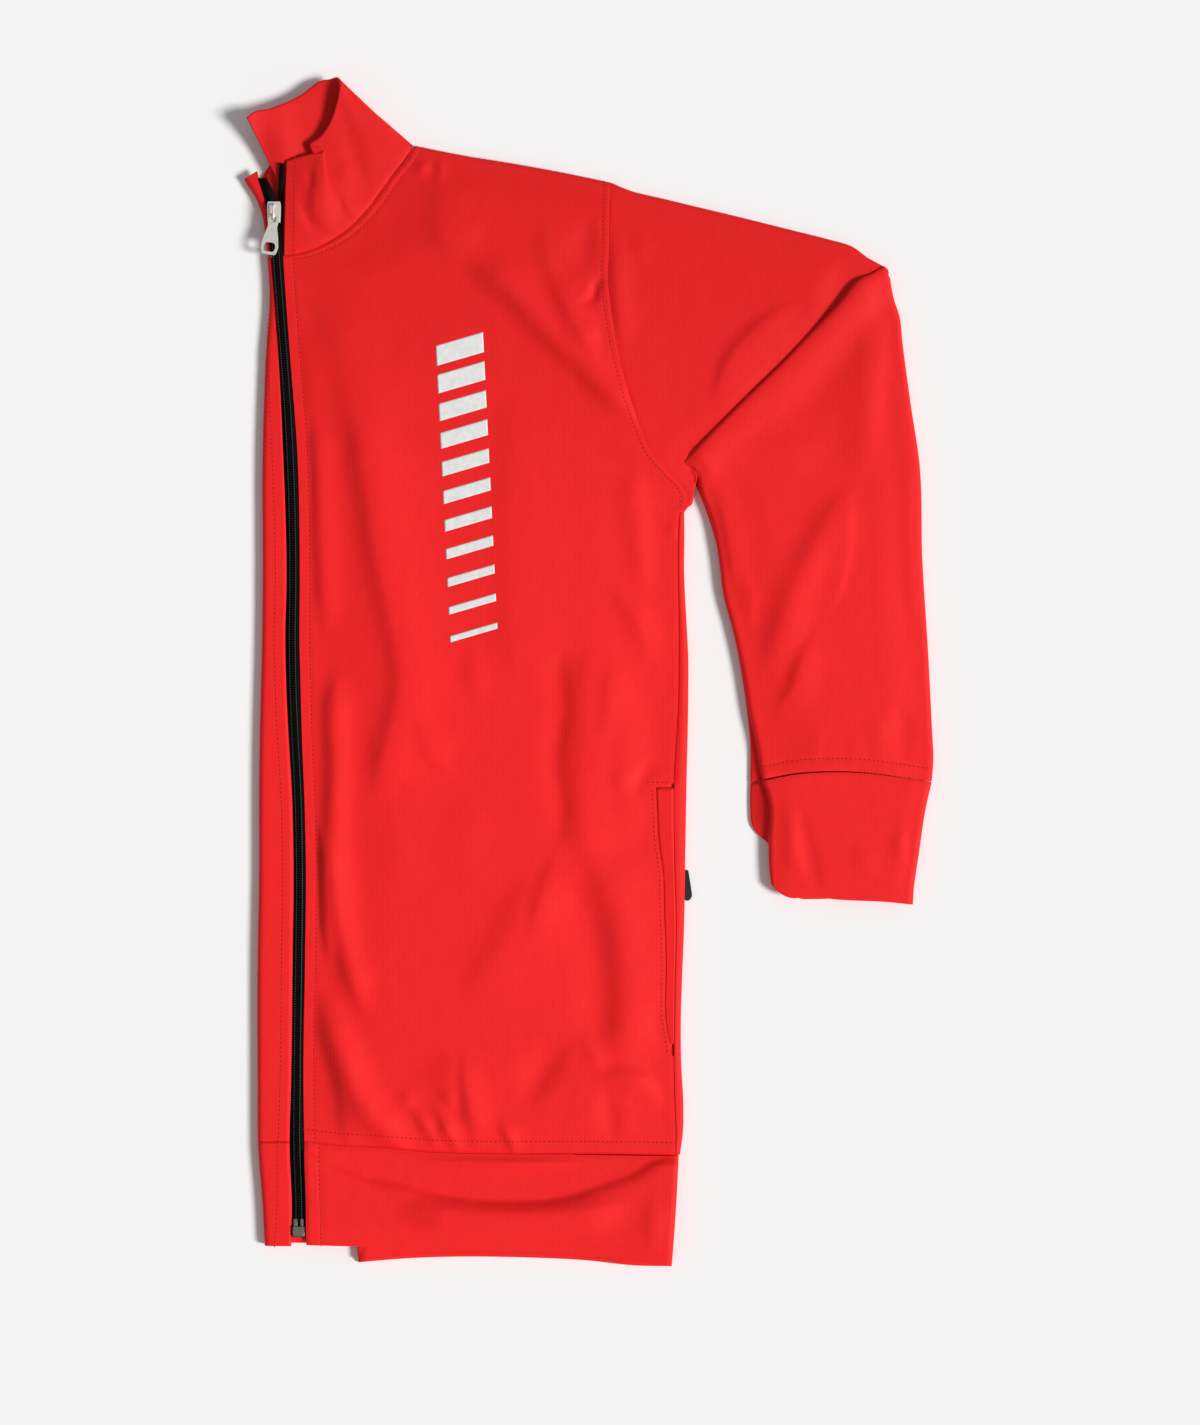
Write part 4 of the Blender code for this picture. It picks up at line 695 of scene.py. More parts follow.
# Hem band.
# A double band of the same tricot, about 68 mm deep, is seamed to the body. The left front's band
# lies on top, the right front's rolls round the fold, and the back's shows under both.
BAND_CLOTH = 2.2
BAND_PILE_TOP = 5.4
BAND_HEM = ((-184.6, -372.0), (-151.1, -372.9), (-112.5, -373.6), (-65.7, -374.9),
            (-31.2, -375.5), (9.8, -379.7), (40.3, -384.6), (53.3, -385.9))
BAND_SIDE = ((57.8, -314.1), (56.0, -348.0), (53.3, -385.9))
BACK_BAND_END_X = -151.5
BACK_BAND_HEM = ((-151.0, -384.0), (-118.3, -381.4), (-41.0, -380.9), (-0.7, -382.9),
                 (27.9, -386.0), (53.3, -386.6))
BAND_FOLDS = (
    (-6.0, 18, 6, (-210, -290), (-190, -297), (-172, -305), (-150, -313), (-130, -322), (-110, -331),
     (-85, -337), (-50, -339.5), (-20, -337), (5, -329), (30, -320), (54, -311)),
    (-3.6, 10, 5, (-212, -296), (-196, -302), (-178, -310), (-163, -318), (-142, -326), (-112, -335)),
    (3.4, 7, 14, (-128, -346), (-90, -350), (-50, -352), (-10, -350), (30, -343)),
    (1.2, 6, 8, (41, -380), (41, -355), (40, -335)),
)
BAND_DEPTH = 68
BAND_PUFF = 3.5
BAND_STITCHES = 9.6
DOUBLE_ROLL = 1.1
SOFT_SINK = 0.15
band_low = BAND_HEM[0][1]
band_hem = edge_curve(BAND_HEM)
band_corner = (HEM_SEAM[-2][0], HEM_SEAM[-2][1] - 0.5)
band_seam = edge_curve([(x, y - 2 * SEAM_GAP) for x, y in HEM_SEAM[:-1]], (band_corner, BAND_SIDE[0]))
band_zip_side = edge_curve(front_line("left_edge", band_low, hem_y, 16))
band_plan = inset_edges(patch(band_hem, band_seam, band_zip_side, edge_curve(BAND_SIDE[::-1]),
                              edged(band_seam.length, 110), edged(BAND_DEPTH, 34)))
left, right, bottom, top = side_distances(band_plan)
band_folds = fold_height(band_plan, BAND_FOLDS)
band_soft = soft_floor(BAND_PUFF * rise(bottom, 14) * rise(top, 6) + band_folds)
band_height = BAND_PILE_TOP + REST_GAP + BAND_CLOTH - SOFT_SINK + band_soft
band_dips = roll_drop(right) + seam_dip(top) + seam_dip(left, BAND_STITCHES)
band_height -= band_dips + roll_drop(bottom, DOUBLE_ROLL)
band_surface = raised(band_plan, band_height)
band_left = cloth_shell("waistband_left_cloth", band_surface, 2.0)
sewing.append(beside(band_surface, left, BAND_STITCHES))
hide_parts("waistband_left")

STRIP_STITCHES = 7.6
STRIP_SLANT = 1.4
WRAP_CLOTH = 1.8
band_heights = np.linspace(band_low - 0.4, hem_y - SEAM_GAP, 40)
band_strip = fold_wrap(front_wrap_rows(band_heights), 2 * FOLD_RADIUS + 0.3)
band_right = cloth_shell("waistband_right_cloth", band_strip, WRAP_CLOTH)
from_zip = from_last(band_strip) / np.linspace(STRIP_SLANT, 1.0, 40)[:, None]
sewing.append(beside(band_strip[:, :-1], from_zip, STRIP_STITCHES))
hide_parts("waistband_right")

inner = FOLD_RADIUS + 0.9
start, step = (front_edge_at(band_low, "fold") + inner, band_low + 0.8), (BACK_BAND_END_X, band_low + 0.4)
back_band_hem = edge_curve((start, step), (step, BACK_BAND_HEM[0]), BACK_BAND_HEM)
fold_heights = np.linspace(band_low + 0.8, hem_y - 0.5, 8)
back_band_left = edge_curve([(front_edge_at(y, "fold") + inner, y) for y in fold_heights])
fold_end = (front_edge_at(hem_y, "fold") + inner, hem_y - 0.5)
back_band_seam = edge_curve([fold_end] + [(x, y - 0.5) for x, y in HEM_SEAM[2:-1]] + [BAND_SIDE[0]])
back_band_side = edge_curve((BACK_BAND_HEM[-1], BAND_SIDE[1], BAND_SIDE[0]))
stops = [0, share_of(back_band_hem, step), share_of(back_band_hem, BACK_BAND_HEM[0]), 1]
back_band_plan = inset_edges(patch(back_band_hem, back_band_seam, back_band_left, back_band_side,
                                   spread(stops, 48), np.linspace(0, 1, 7)))
band_back = pile("waistband_back_cloth", back_band_plan, BAND_PILE_TOP, (0.0, 1.0, 0.55, 0.0))
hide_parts("waistband_back")

# Sleeves.
# One-piece set-in sleeves. The left one lies on top and folds over itself at the elbow, so
# that a deep crease runs from the inner elbow to the outer one. The right sleeve and the
# lower layer of the left one lie under it.
UPPER_OUTER = ((13.7, 319.6), (24.7, 314.9), (49.4, 308.7), (103.2, 295.7), (133.9, 288.0),
               (156.9, 282.2), (170.7, 278.0), (181.3, 270.3), (190.5, 264.8))
UNDERARM = ((63.6, 107.8), (66.4, 110.0), (67.3, 115.0), (68.2, 123.7), (65.0, 130.8), (60.8, 137.7))
CREASE = ((190.5, 264.8), (184.2, 260.4), (174.8, 256.0), (161.4, 240.6), (147.4, 225.4),
          (128.0, 204.9), (103.2, 180.6), (80.2, 157.6), (60.8, 137.7))
CREASE_TURN = (0.694, -0.720)
FOREARM_OUTER = ((194.0, 261.2), (198.1, 243.0), (201.5, 232.9), (203.5, 215.6), (209.0, 174.6),
                 (214.5, 137.7), (216.5, 73.6), (220.3, 12.5), (222.6, -33.6), (223.6, -56.7),
                 (222.6, -70.5))
FOREARM_INNER = ((65.3, 135.5), (69.2, 128.2), (71.9, 117.5), (78.7, 99.6), (83.9, 73.6), (86.8, 50.9),
                 (93.0, 27.5), (99.1, 0.2), (104.0, -29.1), (107.8, -45.3), (110.1, -59.6),
                 (111.7, -69.2))
CUFF_SEAM = ((111.7, -69.2), (132.6, -65.1), (157.3, -63.6), (178.8, -64.4), (201.9, -67.4), (222.6, -70.5))
PILE_UNDERARM = ((63.6, 107.8), (66.6, 112.0), (67.8, 118.5), (65.4, 127.5), (62.2, 135.0))
PILE_FOREARM_INNER = ((65.0, 133.5), (69.6, 121.5), (77.8, 99.6), (84.6, 73.6), (87.4, 50.9), (93.4, 27.5),
                      (98.6, 0.2), (102.6, -27.0), (104.4, -45.3), (104.5, -71.0))
UNDERARM_LEDGE = 3.0
RIDGE_REACH = 5.0
RIDGE_TOP = 12.4
RIDGE_SPREAD = 17
GAPE_SPOT = (164.0, 240.0)
GAPE_RISE = 2.6
GAPE_SPREAD = 17
SWELL_RISE = 0.15
SWELL_PLACE = 12
SLEEVE_FOLD_REACHES = (10, 14)
SLEEVE_PUFF_REACHES = (44, 34)
SLEEVE_STEPS = 76
# The cloth's way round the crease: how far out over the forearm, and the share of the ridge's height.
CREASE_ROWS = (
    (2.4, 0.94),
    (0.7, 0.80),
    (0.0, 0.53),
    (0.6, 0.28),
    (2.2, 0.15),
    (4.0, 0.14),
    (5.1, 0.07),
    (4.2, 0.01),
    (2.0, 0.0),
    (0.0, 0.0),
)
SLEEVE_FOLDS = (
    (1.6, 5, 9, (24, 205), (19, 235), (17, 265), (18, 292)),
    (0.6, 5, 6, (36, 262), (30, 292)),
    (2.0, 5, 16, (80, 172), (86, 192), (94, 208), (105, 220), (116, 229), (140, 243)),
    (-2.4, 10, 12, (146, 232), (160, 246), (174, 257), (190, 266)),
)
FOREARM_FOLDS = (
    (-1.0, 12, 10, (122, 160), (143, 178), (158, 196), (171, 215), (184, 236)),
    (1.2, 12, 9, (176, 120), (178, 150), (182, 185), (187, 215), (190, 238)),
    (1.2, 7, 5, (216, 20), (213, 60), (211, 100), (209, 150), (204, 195)),
    (1.0, 8, 16, (98, 147), (128, 147), (160, 150)),
    (1.6, 8, 11, (98, 44), (93, 74), (87, 104), (82, 135)),
    (2.4, 9, 14, (110, -4), (119, 14), (125, 30), (131, 50), (140, 70), (151, 90), (164, 112), (172, 126)),
    (1.8, 5, 12, (118, -34), (124, -22), (132, -10), (137, 5), (143, 18), (152, 32)),
    (0.7, 8, 4, (150, 30), (162, 58), (167, 85), (168, 122)),
    (0.9, 6, 5, (104, 25), (104, 45), (100, 70)),
    (-1.2, 8, 7, (204, -62), (203, -40), (200, -15)),
    (0.3, 5, 7, (171, -66), (173, -34)),
    (0.35, 6, 5, (189, -66), (186, -22)),
    (0.3, 7, 4, (145, -64), (151, -30)),
)


def sleeve_surface(upper_count, forearm_count):
    """The left sleeve's outer face, from the cuff seam over the elbow crease to the armhole."""
    turn = np.array(CREASE_TURN)
    crease = edge_curve(CREASE[::-1])
    ridge_line = [np.array(p) + turn * RIDGE_REACH for p in CREASE[::-1]]
    inner_edge = edge_curve((*FOREARM_INNER[:0:-1], tuple(ridge_line[0])))
    outer_edge = edge_curve((*FOREARM_OUTER[::-1][:-1], tuple(ridge_line[-1])))
    up = edged(240, forearm_count, True, False)
    widths = np.linalg.norm(outer_edge(up) - inner_edge(up), axis=-1)
    forearm = patch(edge_curve(CUFF_SEAM), edge_curve(ridge_line), inner_edge, outer_edge,
                    np.array([edged(w, SLEEVE_STEPS) for w in widths]), up)
    up = 0.06 + 0.94 * edged(120, upper_count, False, True)
    inner_edge, outer_edge = edge_curve(UNDERARM[::-1]), edge_curve(UPPER_OUTER[::-1])
    widths = np.linalg.norm(outer_edge(up) - inner_edge(up), axis=-1)
    upper = patch(crease, edge_curve(ARMHOLE), inner_edge, outer_edge,
                  np.array([edged(w, SLEEVE_STEPS) for w in widths]), up)
    crease_points = crease(edged(crease.length, SLEEVE_STEPS))
    folded = [crease_points + turn * reach for reach, _ in CREASE_ROWS]
    plan = np.concatenate([forearm, np.array(folded), upper])
    left, right, cuff_end, arm_end = side_distances(plan)
    from_crease = np.array([np.linalg.norm(row[:, None] - crease_points, axis=-1).min(axis=-1)
                            for row in plan])
    edge_puff = rise(left, SLEEVE_PUFF_REACHES[0]) * rise(right, SLEEVE_PUFF_REACHES[1])
    fold_share = rise(left, SLEEVE_FOLD_REACHES[0]) * rise(right, SLEEVE_FOLD_REACHES[1])
    first, last = len(forearm), len(forearm) + len(CREASE_ROWS)
    folds = np.zeros(plan.shape[:2])
    folds[:first] = fold_height(plan[:first], FOREARM_FOLDS)
    folds[last:] = fold_height(plan[last:], SLEEVE_FOLDS)
    ease = (0.45 + 0.55 * rise(left, 12)) * (0.25 + 0.75 * rise(right, 20))
    height = LAID_TOP + soft_floor(edge_puff * PUFF * 0.7 + folds * fold_share)
    base = LAID_TOP + 0.2 + 1.7 * rise(left, 30) * rise(right - 30, 50)
    gape = GAPE_RISE * np.exp(-((np.linalg.norm(plan[:first] - GAPE_SPOT, axis=-1) / GAPE_SPREAD) ** 2))
    swell_low = np.exp(-((from_crease[:first] - RIDGE_REACH) / RIDGE_SPREAD) ** 2)
    swell_low = swell_low * (RIDGE_TOP - LAID_TOP + gape) * ease[:first]
    height[:first] = np.maximum(height[:first], LAID_TOP) + swell_low * (1 - 0.5 * edge_puff[:first])
    ridge_height = height[first - 1]
    for i, (_, level) in enumerate(CREASE_ROWS):
        height[first + i] = base[first + i] + (ridge_height - base[first + i]) * level
    sink = rise(from_crease[last:], 8)
    swell_high = np.exp(-(((from_crease[last:] - SWELL_PLACE) / SWELL_PLACE) ** 2))
    swell_high = swell_high * SWELL_RISE * ease[last:]
    height[last:] = base[last:] + (height[last:] - base[last:] + swell_high) * sink
    height -= roll_drop(np.minimum(left, right)) * rise(from_crease, 8)
    height -= 0.7 * seam_dip(cuff_end, HEM_STITCHES) + 0.4 * seam_dip(arm_end)
    return inset_edges(plan), height


sleeve_plan, sleeve_height = sleeve_surface(48, 110)
sleeve_points = raised(sleeve_plan, sleeve_height)
sleeve_left = cloth_shell("sleeve_left_cloth", sleeve_points)
sewing.append(beside(sleeve_points.transpose(1, 0, 2), side_distances(sleeve_plan)[2].T, HEM_STITCHES))
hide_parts("sleeve_left")

crease_line = edge_curve(CREASE[::-1])
lower_corner = (PILE_FOREARM_INNER[-1][0], PILE_FOREARM_INNER[-1][1] + 0.6)
lower_cuff = edge_curve((lower_corner, *CUFF_SEAM[1:]))
lower_inner = edge_curve(PILE_FOREARM_INNER[::-1], (PILE_FOREARM_INNER[0], CREASE[-1]))
lower_forearm = patch(lower_cuff, crease_line, lower_inner, edge_curve((*FOREARM_OUTER[::-1], CREASE[0])),
                      np.linspace(0, 1, 10), np.linspace(0, 1, 40))
lower_upper = patch(crease_line, edge_curve(ARMHOLE), edge_curve((CREASE[-1], *PILE_UNDERARM[::-1])),
                    edge_curve(UPPER_OUTER[::-1]), np.linspace(0, 1, 10), np.linspace(0, 1, 20)[1:])
lower_plan = inset_edges(np.concatenate([lower_forearm, lower_upper]))
sleeve_ledge = ledge_to(lower_plan, FOREARM_INNER[::-1])
sleeve_ledge[len(lower_forearm):-1] = UNDERARM_LEDGE
sleeve_ledge[-1] = 0
sleeve_right = pile("sleeve_right_cloth", lower_plan, PILE_TOP, (1.0, 1.0, 0.0, 0.0), sleeve_ledge)
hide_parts("sleeve_right")

# Cuffs.
# Double bands of the same tricot, about 80 mm deep, seamed to the sleeve ends. The right cuff
# shows a little at the inner side, under the left one.
CUFF_PILE_TOP = 5.6
CUFF_OUTER = ((222.5, -70.8), (218.7, -87.6), (214.1, -118.1), (210.8, -140.9), (210.3, -150.6))
CUFF_HEM = ((117.6, -137.0), (120.9, -140.9), (129.8, -146.0), (141.1, -145.6), (163.5, -147.4),
            (194.2, -148.9), (210.3, -150.6))
CUFF_INNER = ((111.8, -70.2), (114.6, -77.2), (116.1, -83.7), (116.0, -110.3), (116.6, -127.0),
              (117.6, -137.0))
PILE_CUFF_INNER = ((104.5, -71.6), (104.4, -86.9), (105.8, -99.6), (110.8, -106.2), (116.6, -111.6),
                   (117.0, -125.0), (118.6, -137.6))
PILE_CUFF_HEM = ((118.6, -137.6), (121.6, -141.2), (130.0, -145.4), (163.5, -146.8), (194.2, -148.2),
                 (209.6, -149.9))
PILE_CUFF_OUTER = ((222.6, -70.7), (218.9, -87.6), (214.3, -118.1), (211.0, -140.9), (209.6, -149.9))
CUFF_FOLDS = (
    (-1.3, 6, 5, (151, -148), (145, -128), (140, -108), (136, -84)),
    (0.9, 7, 8, (141, -144), (134, -120), (128, -95), (124, -76)),
    (0.8, 8, 8, (186, -138), (178, -122), (172, -106)),
    (0.9, 6, 4, (206, -134), (203, -112), (204, -92)),
)
CUFF_DEPTH = 78
CUFF_ROUNDING = 16
cuff_seam = edge_curve([(x, y - SEAM_GAP) for x, y in CUFF_SEAM])
cuff_inner, cuff_outer = edge_curve(CUFF_INNER[::-1]), edge_curve(CUFF_OUTER[::-1])
cuff_plan = inset_edges(patch(edge_curve(CUFF_HEM), cuff_seam, cuff_inner, cuff_outer,
                              edged(CUFF_SEAM[-1][0] - CUFF_SEAM[0][0], 56), edged(CUFF_DEPTH, 40)))
left, right, bottom, top = side_distances(cuff_plan)
cuff_folds = 1.0 + fold_height(cuff_plan, CUFF_FOLDS)
cuff_soft = soft_floor(rise(left, CUFF_ROUNDING) * rise(right, CUFF_ROUNDING) * cuff_folds)
cuff_height = CUFF_PILE_TOP + REST_GAP + BAND_CLOTH - SOFT_SINK + cuff_soft
cuff_height -= roll_drop(np.minimum(left, right)) + 0.7 * seam_dip(top) + roll_drop(bottom, DOUBLE_ROLL)
cuff_surface = raised(cuff_plan, cuff_height)
cuff_left = cloth_shell("cuff_left_cloth", cuff_surface, 2.0)
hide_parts("cuff_left")

lower_seam = edge_curve([PILE_CUFF_INNER[0]] + [(x, y - 0.5) for x, y in CUFF_SEAM[1:]])
cuff_inner, cuff_outer = edge_curve(PILE_CUFF_INNER[::-1]), edge_curve(PILE_CUFF_OUTER[::-1])
lower_plan = inset_edges(patch(edge_curve(PILE_CUFF_HEM), lower_seam, cuff_inner, cuff_outer,
                               np.linspace(0, 1, 9), np.linspace(0, 1, 24)))
cuff_right = pile("cuff_right_cloth", lower_plan, CUFF_PILE_TOP, (1.0, 1.0, 0.55, 0.0),
                  ledge_to(lower_plan, CUFF_INNER))
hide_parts("cuff_right")

# Collar.
# A double stand collar of the same tricot, 62 mm high, seamed round the neck. It has
# collapsed: its left half lies over to the zip, folds at the side, and the inner face of
# its back shows behind as a tongue. The right half lies under it.
COLLAR_CLOTH = 2.0
COLLAR_COLUMNS = ("foot_x", "foot_y", "foot_z", "head_x", "head_y", "head_z", "lift")
COLLAR_ROWS = (
    (-199.0, 271.6, 6.6, -197.0, 332.6, 10.0, 1.0),
    (-190.6, 272.6, 6.6, -189.6, 334.8, 11.0, 1.4),
    (-180.4, 275.8, 6.6, -181.0, 336.8, 12.2, 1.6),
    (-171.4, 280.0, 6.6, -173.6, 338.0, 13.0, 1.8),
    (-162.4, 285.6, 6.6, -175.0, 341.0, 12.4, 1.6),
    (-155.2, 291.2, 6.6, -182.0, 343.0, 12.4, 1.0),
    (-148.6, 298.0, 6.6, -174.4, 348.6, 12.8, 0.6),
    (-142.2, 305.4, 6.6, -167.9, 358.4, 14.2, 0.2),
    (-135.2, 315.2, 6.6, -163.7, 371.0, 15.8, 0.0),
    (-128.6, 324.4, 6.6, -162.2, 379.0, 16.2, 0.4),
    (-122.0, 332.6, 6.6, -162.6, 383.6, 14.6, 1.2),
    (-116.6, 340.8, 6.6, -164.6, 386.0, 12.8, 1.0),
    (-119.6, 340.4, 6.2, -168.8, 386.0, 9.0, 0.0),
    (-131.0, 331.0, 6.0, -177.0, 384.0, 8.4, -0.8),
    (-148.0, 322.0, 6.0, -188.8, 375.0, 9.6, -1.4),
    (-167.0, 315.0, 6.0, -206.2, 366.6, 12.6, -2.2),
    (-184.0, 312.0, 6.0, -216.4, 364.2, 15.6, -2.6),
    (-199.0, 311.6, 6.0, -222.0, 359.6, 18.0, -2.6),
)
COLLAR_TURN = 11.5
COLLAR_ROLL = 0.4
COLLAR_DEPTH = 62
COLLAR_STITCHES = 6.4
COLLAR_FOLDS = (
    (1.6, 4, 18, (-177, 282), (-178, 300), (-177, 318), (-174, 342)),
    (-1.2, 9, 6, (-144, 306), (-150, 328), (-157, 350), (-166, 376)),
    (0.8, 3, 7, (-148, 292), (-157, 303), (-161, 316)),
    (-1.2, 3, 5, (-160, 283), (-176, 287), (-184, 296), (-190, 314)),
    (0.7, 6, 8, (-161, 306), (-158, 338)),
    (-0.8, 5, 5, (-186, 318), (-176, 322)),
)
TONGUE_FOLDS = (
    (2.0, 16, 9, (-192, 318), (-199, 344), (-205, 376)),
    (-2.6, 8, 9, (-205, 322), (-214, 342), (-224, 364)),
)
COLLAR_PILE_TOP = 4.6
COLLAR_PILE_LEFT = ((-204.4, 273.0), (-206.8, 288.0), (-209.0, 300.0), (-213.5, 310.0), (-216.0, 318.0),
                    (-212.0, 327.0), (-199.0, 343.0), (-182.0, 363.0), (-171.0, 378.6))
COLLAR_PILE_RIGHT = ((-115.6, 344.4), (-139.0, 364.6), (-163.4, 384.2))
COLLAR_WRAP_ROWS = (
    ((-210.2, 272.4), (-208.4, 272.4)),
    ((-211.6, 286.0), (-209.6, 286.0)),
    ((-213.4, 298.0), (-210.7, 299.4)),
    ((-217.4, 309.0), (-211.6, 308.4)),
    ((-222.0, 316.4), (-214.4, 317.6)),
    ((-225.2, 321.4), (-216.4, 326.6)),
)
COLLAR_WRAP_TOP = 7.2
band = columns_of(COLLAR_COLUMNS, COLLAR_ROWS)
foot = np.stack([band["foot_x"], band["foot_y"], band["foot_z"]], axis=-1)
head = np.stack([band["head_x"], band["head_y"], band["head_z"]], axis=-1)
stations = np.arange(len(foot))
finer = np.linspace(0, len(foot) - 1, 12 * len(foot))
foot, head, lift = (smooth_through(stations, v, finer) for v in (foot, head, band["lift"]))
shares = np.linspace(0, 1, 40)[:, None, None]
collar_surface = (1 - shares) * foot + shares * head
collar_up = shares[..., 0]
collar_roll = COLLAR_ROLL * rise(COLLAR_DEPTH * collar_up, 3.0) * (1 - collar_up)
collar_surface[..., 2] += lift * np.sin(np.pi * collar_up)
collar_surface[..., 2] += np.where(finer < COLLAR_TURN, fold_height(collar_surface[..., :2], COLLAR_FOLDS),
                                   fold_height(collar_surface[..., :2], TONGUE_FOLDS))
collar_surface[..., 2] += np.where(finer < COLLAR_TURN, collar_roll, 0.0)
round_neck = np.concatenate([[0], np.cumsum(np.linalg.norm(np.diff(foot, axis=0), axis=1))])
collar_flat = np.stack(np.broadcast_arrays(round_neck[None], COLLAR_DEPTH * collar_up), axis=-1)
collar = cloth_shell("collar_cloth", collar_surface, COLLAR_CLOTH, 0.0, collar_flat)
facing_up = finer < 4
collar_reach = np.broadcast_to(round_neck[facing_up], (len(shares), facing_up.sum()))
collar_edge = beside(collar_surface[:, facing_up], collar_reach, COLLAR_STITCHES)
sewing.append([(x, y, z + COLLAR_CLOTH / 2) for x, y, z in collar_edge])
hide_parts("collar")

wrap = np.array(COLLAR_WRAP_ROWS, float)
finer = np.linspace(0, len(wrap) - 1, 50)
wrap = np.stack([smooth_through(np.arange(len(wrap)), wrap[:, k], finer) for k in (0, 1)], axis=1)
collar_right = cloth_shell("collar_right_cloth", fold_wrap(wrap, COLLAR_WRAP_TOP), WRAP_CLOTH)
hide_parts("collar_right")

neck_start = (COLLAR_PILE_LEFT[0][0], NECK_SEAM[0][1] + 1.2)
neck = edge_curve([neck_start] + [(x - 0.3, y + 0.6) for x, y in NECK_SEAM])
collar_head = edge_curve((COLLAR_PILE_LEFT[-1], COLLAR_PILE_RIGHT[-1]))
collar_sides = [edge_curve(COLLAR_PILE_LEFT), edge_curve(COLLAR_PILE_RIGHT)]
lower_plan = inset_edges(patch(neck, collar_head, *collar_sides, np.linspace(0, 1, 10),
                               np.linspace(0, 1, 24)))
folded_collar = pile("folded_collar_cloth", lower_plan, COLLAR_PILE_TOP, (1.0, 1.0, 0.0, 1.0))
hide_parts("folded_collar")

# Zip.
# A number five nylon coil zip on black woven tape, sewn between the fronts and closed from
# the box at the hem to the slider just over the neck seam. The slider, its pull and the box
# are plated metal.
TAPE_TOP = 7.2
TAPE_THICK = 0.9
TAPE_CORNER = 0.25
TAPE_GAP = 0.15
TAPE_NARROWS = 1.4
TAPE_END_Y = -366.6
TAPE_SPLIT_Y = 292.0
# Over the slider the tapes and coils part. The rows give a tape's two edges, Y and how far it rises.
TAPE_LEFT_TAIL = ((-204.2, -199.6, 300.0, 0.0), (-203.4, -199.5, 306.6, 0.0), (-202.9, -199.2, 311.0, 1.1),
                  (-202.3, -198.8, 316.0, 2.2), (-201.4, -198.2, 331.0, 4.6))
TAPE_RIGHT_TAIL = ((-210.6, -204.4, 303.0, 0.0), (-213.0, -205.4, 312.0, 0.2), (-216.0, -210.2, 322.0, 0.4))
COIL_TOP = 9.1
COIL_LOW_Y = -354.2
COIL_HIGH_Y = 294.2
TOOTH = (0.58, 3.7, 1.45)
TOOTH_PITCH = 1.6
TOOTH_OVERLAP = 0.95
# The section of the cord inside the coil, across and up.
CORE_SECTION = ((-2.5, 7.3), (-2.3, 8.35), (-1.4, 8.5), (1.4, 8.5), (2.3, 8.35), (2.5, 7.3))
THREAD_OFFSET = 1.9
THREAD_STITCH = (0.8, 0.5, 0.4)
# The open coils: X, Y and how far they rise.
OPEN_COILS = (
    ((-202.0, 307.4, 0.4), (-201.5, 317.0, 2.2), (-200.5, 330.6, 4.6)),
    ((-208.4, 307.4, 0.2), (-210.0, 314.0, 0.3), (-212.5, 321.4, 0.5)),
)


def hard_finish(name, tint, roughness, metallic=0.0, specular=0.5, grain=400.0, depth=0.00004,
                stretch=(1.0, 1.0, 1.0)):
    """A hard surface: one colour, its gloss varied a little, and a fine grain or weave in relief."""
    material = bpy.data.materials.new(name)
    material.use_nodes = True
    nodes, links = material.node_tree.nodes, material.node_tree.links
    shader = nodes["Principled BSDF"]
    shader.inputs["Metallic"].default_value = metallic
    shader.inputs["Specular IOR Level"].default_value = specular
    place = nodes.new("ShaderNodeTexCoord")
    mapping = shader_node(material, "ShaderNodeMapping", Scale=stretch)
    noise = shader_node(material, "ShaderNodeTexNoise", Scale=grain, Detail=3.0)
    shades = nodes.new("ShaderNodeValToRGB")
    low, high = shades.color_ramp.elements
    low.color = (*(c * 0.72 for c in tint), 1.0)
    high.color = (*tint, 1.0)
    gloss = shader_node(material, "ShaderNodeMapRange", To_Min=roughness * 0.8, To_Max=roughness * 1.2)
    links.new(place.outputs["Object"], mapping.inputs["Vector"])
    links.new(mapping.outputs["Vector"], noise.inputs["Vector"])
    links.new(noise.outputs["Fac"], shades.inputs["Fac"])
    links.new(shades.outputs["Color"], shader.inputs["Base Color"])
    links.new(noise.outputs["Fac"], gloss.inputs["Value"])
    links.new(gloss.outputs["Result"], shader.inputs["Roughness"])
    relief(material, (noise, depth))
    return material


